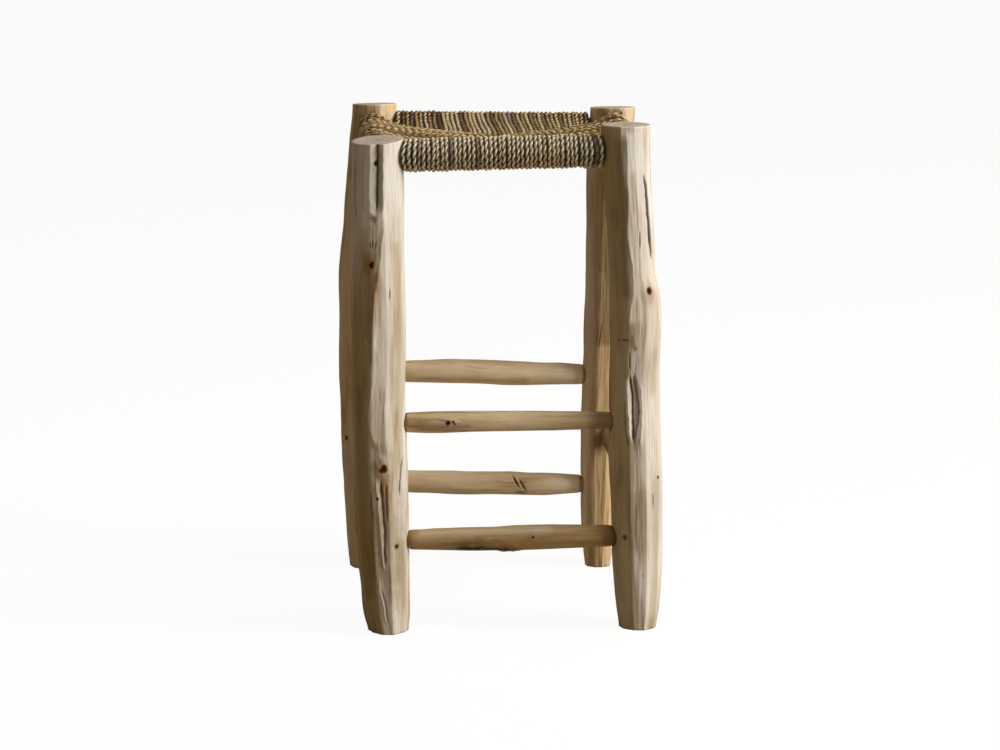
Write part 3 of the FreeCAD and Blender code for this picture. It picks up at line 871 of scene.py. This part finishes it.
def make_leg(name):
    points, edges = node_mesh(name)
    low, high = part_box(name)
    joints = joints_of(low, high)
    seed = LEG_SEEDS[name]
    centre, normal = top_face(points, name)
    slope = -normal[:2] / normal[2]
    top = centre[2]
    bearings = full_turn(LEG_COLUMNS)
    lowest_top = points[points[:, 2] > high.z - 0.008][:, 2].min()

    places = np.linspace(0.0008, lowest_top - 0.001, LEG_SLICES)
    clear = [all(abs(place - point[2]) > MORTISE_CLEAR for point, way in joints) for place in places]
    places = places[clear]
    middles, radii = outline(points, edges, (FRONT, RIGHT, UP), places, bearings)
    rows = leg_rows(0.0, top, joints)
    even = np.linspace(0, top, LEG_EVEN_ROWS)
    radius = resampled(even, places, radii)
    rounded = blurred(radius.T, LEG_COLUMNS / 36, wrap=True).T
    faceted = 1 - (1 - FACET_SHARE) * smoothstep(FACETED_BELOW - 0.05, FACETED_BELOW + 0.05, even)
    radius = blurred(between(rounded, radius, faceted[:, None]), OUTLINE_BLUR)
    radius = resampled(rows, even, radius)
    middle = resampled(rows, even, blurred(resampled(even, places, middles), LINE_BLUR))

    mean_radius = float(radius.mean())
    place, turn, straight = unrolled(rows, bearings, mean_radius, FRONT, RIGHT)
    ways = spokes(bearings, FRONT, RIGHT)
    uneven = relief(straight, LEG_UNEVEN, seed)
    uneven += 0.0015 * (0.4 - np.abs(wander(straight, (0.024, 0.024, 0.17), seed + 6)))
    fibres = relief(straight, LEG_FIBRES, seed + 3)
    marks = LEG_MARKS[name] + scattered_marks(seed, 60, top / MM - 60, 3, 7, 75)
    rise, push, tints = mark_wood(marks, turn, place, mean_radius, seed)
    crack = tints["crack"]

    surface = leg_surface(middle, radius, ways, place)
    calm = np.ones_like(place)
    sunk = np.zeros_like(place)
    ragged = wander(straight, (0.004, 0.004, 0.004), seed + 5)
    for point, way in joints:
        offset = surface - point
        along = offset @ way
        distance = np.linalg.norm(offset - along[..., None] * way, axis=-1)
        mouth = smoothstep(*MOUTH_EDGE, distance + 0.0005 * ragged) * (along > 0)
        sunk = np.maximum(sunk, MOUTH_DEPTH * mouth)
        # Painted shade round the mouth of the tenon's hole
        crack = np.maximum(crack, 0.75 * smoothstep(*MOUTH_SHADE, distance) * (along > 0))
    for head in NAIL_HEADS:
        distance = np.linalg.norm(surface - head, axis=-1)
        calm = np.minimum(calm, smoothstep(*NAIL_CALM, distance))
        sunk = np.maximum(sunk, NAIL_PIT * smoothstep(*NAIL_EDGE, distance))
        crack = np.maximum(crack, 0.55 * smoothstep(*NAIL_SHADE, distance))
    radius = radius + (uneven + rise) * calm + fibres - sunk

    tilt = (surface[-1, :, :2] - centre[:2]) @ slope
    lift = smoothstep(*TOP_SLOPE, rows / top)[:, None] * tilt
    surface = leg_surface(middle, radius, ways, place + lift)
    grain = grain_place(turn + push, place, mean_radius, seed)
    mark = joined(tints["knot"], crack, tints["stain"])
    shade = joined(tints["pale"], tints["brown"], leg_shade_and_wear(name, bearings, place, straight, seed))
    bottom = cap(surface[0], middle[0], np.zeros(2), seed, -1)
    ceiling = cap(surface[-1], middle[-1], slope, seed + 7, 1)
    grid, grain, mark, shade = [np.concatenate((first[::-1], part, last)) for first, part, last
                                in zip(bottom, (surface, grain, mark, shade), ceiling)]
    material = FRONT_WOOD if "front" in name else BACK_WOOD
    piece = skin(name.replace("leg_", "hewn_leg_"), [grid], [material, SAWN],
                 {"grain": grain, "mark": mark, "shade": shade}, CAP_ROWS)
    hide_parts(name)
    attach(piece, "root")
    return surface


# Rungs and seat rails

BAR_UNEVEN = ((0.001, 0.018, 0.06), (0.0005, 0.008, 0.026))
BAR_FIBRES = ((0.00016, 0.0019, 0.03),)
BAR_SLICES = 260           # slices of the solid that give a bar its thickness
BAR_BEND = 0.0016          # how far a bar strays from its straight line
BAR_FREE = (0.016, 0.045)  # how far from its ends a bar becomes uneven
TENON_RADIUS = 0.01
SHOULDER_REACH = 0.0045    # how far a rung keeps its thickness past its shoulder
SHOULDER_BLUR = 0.0016


def make_bar(name, columns, step, material, marks, seed, roughness=1.0):
    """A peeled branch between its two tenons, along its own line."""
    points, edges = node_mesh(name)
    first, last = BARS[name]
    length = np.linalg.norm(last - first)
    axis = (last - first) / length
    outward = FRONT if abs(axis[0]) > 0.5 else -RIGHT if first[0] < 0 else RIGHT
    outward = outward - axis * (outward @ axis)
    outward = outward / np.linalg.norm(outward)
    upward = np.cross(outward, axis)
    if upward[2] < 0:
        upward = -upward
    bearings = full_turn(columns)
    if np.cross(outward, upward) @ axis < 0:
        bearings = bearings[::-1]
    places = np.linspace(0.0004, length - 0.0004, BAR_SLICES)
    axes = (outward, upward, axis)
    radii = outline(points, edges, axes, places + first @ axis, bearings)[1]
    rows = np.linspace(0, length, int(length / step))
    radius = np.interp(rows, places, radii.mean(axis=1))
    reach = max(1, int(SHOULDER_REACH / step))
    padded = np.pad(radius, reach, mode="edge")
    widened = np.lib.stride_tricks.sliding_window_view(padded, 2 * reach + 1).max(axis=1)
    radius = blurred(widened, SHOULDER_BLUR / step)
    thick = rows[radius > TENON_RADIUS + 0.001]

    mean_radius = float(radius[len(rows) // 2])
    place, turn, straight = unrolled(rows, bearings, mean_radius, RIGHT, -FRONT)
    free = smoothstep(*BAR_FREE, place) * smoothstep(*BAR_FREE, length - place)
    uneven = relief(straight, BAR_UNEVEN, seed)
    fibres = relief(straight, BAR_FIBRES, seed + 2)
    rise, push, tints = mark_wood(marks, turn, place, mean_radius, seed)
    radius = radius[:, None] + roughness * ((uneven + rise) * free + fibres)

    line = first + rows[:, None] * axis
    bend = BAR_BEND * roughness * np.sin(math.pi * rows / length)
    for number, way in enumerate((outward, upward)):
        line = line + (bend * sway(rows, 0.11, seed + 3 + number))[:, None] * way
    surface = line[:, None, :] + radius[..., None] * spokes(bearings, outward, upward)
    mark = joined(tints["knot"], tints["crack"], tints["stain"])
    first_end_shade, last_end_shade = RUNG_END_SHADE.get(name, (0, 0))
    past_first, past_last = place - thick[0], thick[-1] - place
    ragged = 0.004 * wander(straight, (0.008, 0.008, 0.02), seed + 6)
    # Both ends are painted dark as shade where the rung meets a leg, with a thin line of painted shade at the
    # leg's face
    ends = first_end_shade * smoothstep(0.022, 0.002, past_first + ragged)
    ends += last_end_shade * smoothstep(0.03, 0.002, past_last + ragged)
    ends = np.maximum(ends, 0.6 * smoothstep(0.0045, 0.002, np.minimum(past_first, past_last)))
    shade = joined(tints["pale"], np.maximum(tints["brown"], ends), RUNG_WEATHER.get(name, 0.0))
    grain = grain_place(turn + push, place, mean_radius, seed)
    piece = skin("peeled_" + name, [surface], [material], {"grain": grain, "mark": mark, "shade": shade})
    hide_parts(name)
    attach(piece, "root")


# The woven seat

CORD_DIAMETER = 0.0059
ROUNDS = 22                # turns of cord from each corner to the middle
LAY = 0.019                # length over which the two plies twist once round
PLY_OFFSET = 0.00128
PLY_THICK, PLY_WIDE = 0.00128, 0.00168
# Past this distance out from its line a cord is painted dark, as the shade in the gaps between cords
GAP_SHADE_FROM, GAP_SHADE_TO = 0.0016, 0.0028    # how far out from its line a cord darkens
GAP_SHADE_DARK = 0.95
FIBRE_RADIUS = 0.0016      # of the ring on which a ply reads its fibres
FILLING_WIDE, FILLING_THICK = 0.0036, 0.0011
FILLING_SHAPE = np.array(((1, 0), (0.55, 1), (-0.55, 1), (-1, 0), (-0.55, -1), (0.55, -1)))
FILLING_SHADE = 0.92
BEND_PLACE, BEND_RISE = 0.3, 0.25     # where a strand's top line bends down into the dish
CORD_CLEARANCE = 0.0005
RAIL_RADIUS = 0.015
LEG_GAP = 0.0006           # between the first strand and a leg
LEG_ROUND = 0.031          # about half a leg's thickness at the seat
HUGGING_STRANDS = 7        # how many strands beside a leg lean into the hollow beside it
HUG_SHARE = 0.6            # how much of that hollow the first one takes
MIDDLE_SHIFT = 0.008       # how far to the right of the middle the four triangles meet
WRAP_LEAN = 0.0024         # how far along its rail a strand goes as it goes round it

# One side of the seat: its rail, its corners, the axis across it, whether its
# strands lie over those of the next rail at each corner, its cord's colour, and how
# dark the edges of its plies are painted as shade. The front's high tone is partly
# painted light on its wraps.
Side = namedtuple("Side", "rail first last across first_over last_over tone ochre spread edge_dark")
SIDES = (
    Side("seat_rail_front", "front_left", "front_right", 1, False, True, 1.3, 0.3, 0.34, 0.62),
    Side("seat_rail_back", "back_left", "back_right", 1, True, False, 0.55, 0.74, 0.28, 0.92),
    Side("seat_rail_left", "front_left", "back_left", 0, True, False, 0.58, 0.84, 0.42, 1.0),
    Side("seat_rail_right", "front_right", "back_right", 0, False, True, 0.58, 0.84, 0.42, 1.0),
)

# Inside the seat: the corners between which the cord crosses and in which layer,
# its radius, the length of its steps and how far each layer is from the middle
INNER_PAIRS = (("front_left", "back_left", 1), ("front_right", "back_right", 1),
               ("front_left", "front_right", -1), ("back_left", "back_right", -1))
INNER_RADIUS = CORD_DIAMETER * 0.42
INNER_STEP = 0.006
INNER_LAYER = 0.0016


def weave_levels(place):
    """Heights of the cord's line where strands cross, on top and underneath."""
    points = node_mesh("seat_weave")[0]
    distance = np.linalg.norm(points[:, :2] - place, axis=1)
    heights = points[distance < distance.min() + 0.001, 2]
    return np.array((heights.max() - CORD_DIAMETER / 2, heights.min() + CORD_DIAMETER / 2))


def weave_corners(surfaces):
    """Where the first strands cross beside each leg, clear of its face."""
    low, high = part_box("seat_weave")
    corners = {}
    for name, ways in (("front_left", (1, 1)), ("front_right", (-1, 1)),
                       ("back_left", (1, -1)), ("back_right", (-1, -1))):
        surface = surfaces["leg_" + name].reshape(-1, 3)
        near = surface[(surface[:, 2] > low.z) & (surface[:, 2] < high.z), :2]
        corners[name] = ((near * ways).max(axis=0) + LEG_GAP) * ways
    return corners


def circle(radius, angles):
    return radius * joined(np.cos(angles), np.sin(angles))


def strand_line(inward, top, bottom, rail_height, over, loose):
    """One strand's line in a plane across its rail, as distance inward and height."""
    turn_radius = RAIL_RADIUS + CORD_CLEARANCE + CORD_DIAMETER / 2 + loose
    bend_place = max(BEND_PLACE * inward, min(1.25 * turn_radius, 0.9 * inward))
    bend = (bend_place, top + BEND_RISE * (rail_height + turn_radius - top))
    tangents = []
    for place, height, sign in ((*bend, 1), (inward, bottom, -1)):
        height = height - rail_height
        spread = math.acos(turn_radius / math.hypot(height, place))
        tangents.append(math.atan2(height, place) + sign * spread)
    arc = np.linspace(tangents[0], 2 * math.pi + tangents[1], 40)
    wrap = circle(turn_radius, arc) + (0, rail_height)
    inner = (top + bottom) / 2
    tuck = inward + (0.0052 if over else 0.0034)
    half_tuck = inward + 0.8 * (tuck - inward)
    sink = 0 if over else 0.0012
    start = np.array(((tuck, inner + 0.001), (half_tuck, top - 0.0026), (inward - 0.0006, top - sink)))
    end = ((inward - 0.0006, bottom + sink), (half_tuck, bottom + 0.0026), (tuck, inner - 0.001))
    share = np.linspace(0.06, 0.97, 16)[:, None]
    dish = (1 - share) ** 2 * start[-1] + 2 * share * (1 - share) * np.array(bend) + share ** 2 * wrap[0]
    corners = np.concatenate((start, dish, wrap, end))
    gaps = np.concatenate(([0], np.cumsum(np.linalg.norm(np.diff(corners, axis=0), axis=1))))
    line = blurred(resampled(np.arange(0, gaps[-1], 0.0005), gaps, corners), 2.4)
    rows = np.linspace(0, len(line) - 1, int(gaps[-1] / CORD_STEP))
    return resampled(rows, np.arange(len(line)), line), gaps[-1]


def lifts(line, side):
    """The way up from a cord's line at each of its points, square to the way sideways."""
    tangents = np.gradient(line, axis=0)
    tangents = tangents / np.linalg.norm(tangents, axis=1)[:, None]
    return np.cross(tangents, side)


def fibre_places(ring, along):
    """Where each point of a cord lies in its fibres: its place in the ring and along."""
    return joined(*ring.T, along[:, None])


def plies(centres, side, along, phase, rng, thickness, seed, edge_dark):
    """The two twisted plies of a stretch of cord: for each, its points, their fibre
    places and how dark they are painted as shade."""
    lift = lifts(centres, side)
    lane = seed * 0.31
    twist = phase + 2 * math.pi * along / (LAY * (1 + rng.uniform(-0.08, 0.08)))
    twist = twist + 0.45 * sway(along, 0.026, seed, lane)
    angles = np.linspace(0, -2 * math.pi, CORD_SIDES, endpoint=False)
    fold = 1 + 0.12 * np.cos(3 * angles + 40 * along[:, None] + seed)
    # The edges of each ply are painted dark, as the shade between the two plies
    edge = edge_dark * smoothstep(0.66, 1.0, np.abs(np.cos(angles)))
    made = []
    for ply in range(2):
        bearing = twist + math.pi * ply
        swell = thickness * (1 + 0.14 * sway(along, 0.011, seed + 50 + ply, lane))
        out = spokes(bearing, side, lift)
        round_way = spokes(bearing + math.pi / 2, side, lift)
        across = (PLY_WIDE * swell)[:, None] * np.cos(angles) * fold
        through = (PLY_THICK * swell)[:, None] * np.sin(angles) * fold
        grid = (centres + (PLY_OFFSET * swell)[:, None] * out)[:, None, :]
        grid = grid + across[..., None] * round_way[:, None, :] + through[..., None] * out[:, None, :]
        place = fibre_places(circle(FIBRE_RADIUS, angles), along) + 0.173 * (seed + 13 * ply)
        # The cord's sides are painted dark, as the shade in the gaps between cords
        sideways = np.abs((grid - centres[:, None, :]) @ side)
        crease_and_gap_shade = GAP_SHADE_DARK * smoothstep(GAP_SHADE_FROM, GAP_SHADE_TO, sideways)
        made.append((grid, place, np.maximum(crease_and_gap_shade, edge)))
    return made


def filling(centres, side, length):
    """The flattened inside of a stretch of cord, which meets its neighbours' on both sides."""
    rows = len(centres) // 3
    line = centres[np.linspace(0, len(centres) - 1, rows).round().astype(int)]
    across = FILLING_WIDE * FILLING_SHAPE[:, 0:1] * side
    through = FILLING_THICK * FILLING_SHAPE[:, 1:2] * lifts(line, side)[:, None, :]
    place = fibre_places(FIBRE_RADIUS * FILLING_SHAPE, np.linspace(0, length, rows))
    return line[:, None, :] + across + through, place


def strand_centres(side, mitre, levels, over, ahead, turn, skew, rng, seed):
    """A strand's middle line in the frame, and how far along it each point is."""
    first, last = BARS[side.rail]
    along = 1 - side.across
    part = (mitre[along] - first[along]) / (last[along] - first[along])
    rail_point = between(first, last, part)
    inward = mitre[side.across] - rail_point[side.across]
    loose = 0.0002 + 0.001 * rng.random() ** 2
    line, length = strand_line(abs(inward), *levels, rail_point[2], over, loose)
    run = np.linspace(0, length, len(line))
    out = np.clip(-line[:, 0], 0, 0.75 * LEG_ROUND)
    hollow = LEG_ROUND - np.sqrt(LEG_ROUND ** 2 - out ** 2)
    lean = HUG_SHARE * max(0.0, 1 - turn / HUGGING_STRANDS) ** 2 * hollow
    outer = smoothstep(abs(inward), 0, line[:, 0])
    centres = np.zeros((len(line), 3))
    centres[:, along] = mitre[along] + rng.normal(0, 0.0003) - ahead * lean - skew * outer
    centres[:, along] += WRAP_LEAN * (run / length - 0.5)
    centres[:, along] += 0.0007 * sway(run, 0.024, seed + 3, seed * 0.7)
    centres[:, along] += 0.0003 * sway(run, 0.009, seed + 4, seed * 0.7)
    centres[:, side.across] = rail_point[side.across] + math.copysign(1, inward) * line[:, 0]
    centres[:, 2] = line[:, 1]
    return centres, run


def make_side(number, side, corners, centre):
    """The strands over one rail, from both of its corners to the middle."""
    rail_height = BARS[side.rail][0][2]
    rng = np.random.default_rng(900 + number)
    way = np.eye(3)[1 - side.across]
    parts = []
    middle_levels = weave_levels(centre)
    for corner, over, ahead in ((side.first, side.first_over, 1), (side.last, side.last_over, -1)):
        corner_levels = weave_levels(corners[corner])
        for turn in range(ROUNDS):
            share = (turn + 0.5) / ROUNDS
            mitre = between(corners[corner], centre, share)
            levels = between(corner_levels, middle_levels, share)
            seed = 1000 * number + 31 * turn + (7 if ahead > 0 else 19)
            skew = MIDDLE_SHIFT * share * side.across
            centres, run = strand_centres(side, mitre, levels, over, ahead, turn, skew, rng, seed)
            phase = 0.55 * turn * ahead + rng.normal(0, 0.35)
            made = plies(centres, way, run, phase, rng, rng.uniform(0.9, 1.1), seed, side.edge_dark)
            tone = rng.normal(side.tone, side.spread)
            tint = rng.uniform(0.5, 0.9) if rng.random() < 0.08 else -side.ochre * rng.uniform(0.6, 1.3)
            # Both ends of a strand, where it tucks into the weave, are painted dark as shade
            tucked_shade = smoothstep(0.006, 0, run) + smoothstep(run[-1] - 0.006, run[-1], run)
            # Where a strand goes under its rail it is painted warmer and a little darker, as the warm shade
            # there, and its gaps less dark
            under = smoothstep(0.002, 0.013, rail_height - centres[:, 2])[:, None]
            for grid, place, crease_and_gap_shade in made:
                ply_tone = tone + rng.normal(0, 0.07) - 0.02 * under
                warm = np.clip(tint - 0.25 * under, -1, 1)
                dark = np.maximum(0.8 * tucked_shade[:, None], crease_and_gap_shade * (1 - 0.6 * under))
                parts.append((grid, place, joined(ply_tone, warm, dark)))
            # The filling is painted almost black, as the shade between the strands
            grid, place = filling(centres, way, run[-1])
            parts.append((grid, place, np.broadcast_to((tone - 0.2, -side.ochre, FILLING_SHADE), grid.shape)))
    piece = cord_piece("woven_cord_" + side.rail.replace("seat_rail_", ""), parts)
    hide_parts("seat_weave")


def cord_piece(name, parts):
    """One piece of many stretches of cord, each with its points, fibre places and looks."""
    grids, fibres, strands = zip(*parts)
    attributes = {label: np.concatenate([values.reshape(-1, 3) for values in lists])
                  for label, lists in (("fibre", fibres), ("strand", strands))}
    piece = skin(name, grids, [CORD], attributes)
    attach(piece, "root")
    return piece


def make_inner_cords(corners, centre):
    """The cord's crossings from rail to rail inside the seat, under the strands that show."""
    rng = np.random.default_rng(77)
    parts = []
    angles = np.linspace(0, -2 * math.pi, 6, endpoint=False)
    middle_level = weave_levels(centre).mean()
    for first_name, last_name, layer in INNER_PAIRS:
        for turn in range(ROUNDS):
            share = (turn + 0.5) / ROUNDS
            ends = []
            for name in (first_name, last_name):
                level = between(weave_levels(corners[name]).mean(), middle_level, share)
                ends.append(np.array((*between(corners[name], centre, share), level + INNER_LAYER * layer)))
            start, stop = ends
            length = np.linalg.norm(stop - start)
            if length < 4 * INNER_RADIUS:
                continue
            axis = (stop - start) / length
            run = np.linspace(0, length, max(4, int(length / INNER_STEP)))
            ring = INNER_RADIUS * spokes(angles, np.cross(axis, UP), UP)
            grid = (start + run[:, None] * axis)[:, None, :] + ring
            # Painted half dark, as the shade under the strands that show
            looks = np.broadcast_to((rng.normal(0.22, 0.08), -0.3, 0.55), grid.shape)
            parts.append((grid, fibre_places(circle(INNER_RADIUS, angles), run) + 0.11 * turn, looks))
    cord_piece("woven_cord_inside", parts)


def make_weave(surfaces):
    corners = weave_corners(surfaces)
    centre = sum(corners.values()) / len(corners) + (MIDDLE_SHIFT, 0)
    for number, side in enumerate(SIDES):
        make_side(number, side, corners, centre)
    make_inner_cords(corners, centre)


# Floor, lights and camera

WHITE = (1.0, 1.0, 1.0)
WORLD_COLOUR, WORLD_STRENGTH = (1.0, 0.81, 0.6), 0.13
WORLD_WHITE = 0.94         # the strength at which the camera sees the world
FLOOR_HALF = 40.0
FLOOR_WHITE = (0.92, 0.92, 0.92)
FLOOR_TINT = (0.44, 0.38, 0.3) # what the floor sends back up onto the stool
FLOOR_GLOW = 1.04
FLOOR_GLOW_SHARE = 0.9


def camera_sees(tree):
    """1 where a ray comes from the camera, or by way of gloss or glass."""
    path = node(tree, "ShaderNodeLightPath")
    seen = math_node(tree, "MAXIMUM", path.outputs["Is Camera Ray"], path.outputs["Is Glossy Ray"])
    return math_node(tree, "MAXIMUM", seen, path.outputs["Is Transmission Ray"])


def make_world():
    world = bpy.data.worlds.new("studio")
    bpy.context.scene.world = world
    world.use_nodes = True
    tree = world.node_tree
    tree.nodes.clear()
    plain = node(tree, "ShaderNodeBackground", {"Color": WORLD_COLOUR, "Strength": WORLD_STRENGTH})
    white = node(tree, "ShaderNodeBackground", {"Color": WHITE, "Strength": WORLD_WHITE})
    both = node(tree, "ShaderNodeMixShader", {0: camera_sees(tree), 1: plain.outputs[0], 2: white.outputs[0]})
    node(tree, "ShaderNodeOutputWorld", {"Surface": both.outputs[0]})


def make_floor():
    mesh = bpy.data.meshes.new("floor")
    corners = [(x * FLOOR_HALF, y * FLOOR_HALF, 0) for x, y in ((-1, -1), (1, -1), (1, 1), (-1, 1))]
    mesh.from_pydata(corners, [], [(0, 1, 2, 3)])
    floor = placed("floor", mesh)
    material, tree = new_material("floor_white")
    seen = camera_sees(tree)
    shader = tree.nodes["Principled BSDF"]
    feed(tree, shader.inputs["Base Color"], mixed(tree, seen, FLOOR_TINT, FLOOR_WHITE))
    shader.inputs["Roughness"].default_value = 0.9
    shader.inputs["Specular IOR Level"].default_value = 0.1
    glow = node(tree, "ShaderNodeEmission", {"Color": WHITE, "Strength": FLOOR_GLOW})
    share = math_node(tree, "MULTIPLY", seen, FLOOR_GLOW_SHARE)
    both = node(tree, "ShaderNodeMixShader", {0: share, 1: shader.outputs[0], 2: glow.outputs[0]})
    feed(tree, tree.nodes["Material Output"].inputs["Surface"], both.outputs[0])
    mesh.materials.append(material)


def aimed(way):
    """The turn with which a lamp or a camera looks along a way."""
    return way.to_track_quat("-Z", "Y").to_euler()


def softbox(name, place, target, size, power, colour):
    lamp = bpy.data.lights.new(name, "AREA")
    lamp.shape = "RECTANGLE"
    lamp.size, lamp.size_y = size
    lamp.energy = power
    lamp.color = colour
    holder = placed(name, lamp)
    holder.location = place
    holder.rotation_euler = aimed(Vector(target) - Vector(place))


def make_camera():
    data = bpy.data.cameras.new("camera")
    data.lens = CAMERA_LENS
    data.sensor_width = 36.0
    holder = placed("camera", data)
    holder.location = CAMERA_PLACE
    level = math.cos(CAMERA_DIP)
    way = (math.sin(CAMERA_TURN) * level, math.cos(CAMERA_TURN) * level, -math.sin(CAMERA_DIP))
    holder.rotation_euler = aimed(Vector(way))
    bpy.context.scene.camera = holder


make_camera()
make_world()
make_floor()
softbox("key_light", (6.4, -1.8, 2.65), (0, 0, 0.35), (2.6, 4.4), 482, (1.0, 0.98, 0.95))
softbox("top_light", (0.5, -0.4, 3.0), (0, 0, 0.4), (1.8, 1.8), 29, (1.0, 0.99, 0.97))

surfaces = {name: make_leg(name) for name in LEG_MARKS}
for name in RUNGS:
    seed = RUNG_SEEDS[name]
    marks = RUNG_MARKS[name] + scattered_marks(seed, 50, 220, 1, 3, 80)
    make_bar(name, RUNG_COLUMNS, RUNG_STEP, RUNG_WOOD, marks, seed)
for number, name in enumerate(RAILS):
    make_bar(name, RAIL_COLUMNS, RAIL_STEP, RAIL_SHADE_WOOD, [], 300 + number, 0.3)
make_weave(surfaces)

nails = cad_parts["rung_nails"]
nails.data.materials.clear()
nails.data.materials.append(IRON)

bpy.context.scene.view_settings.view_transform = "Standard"
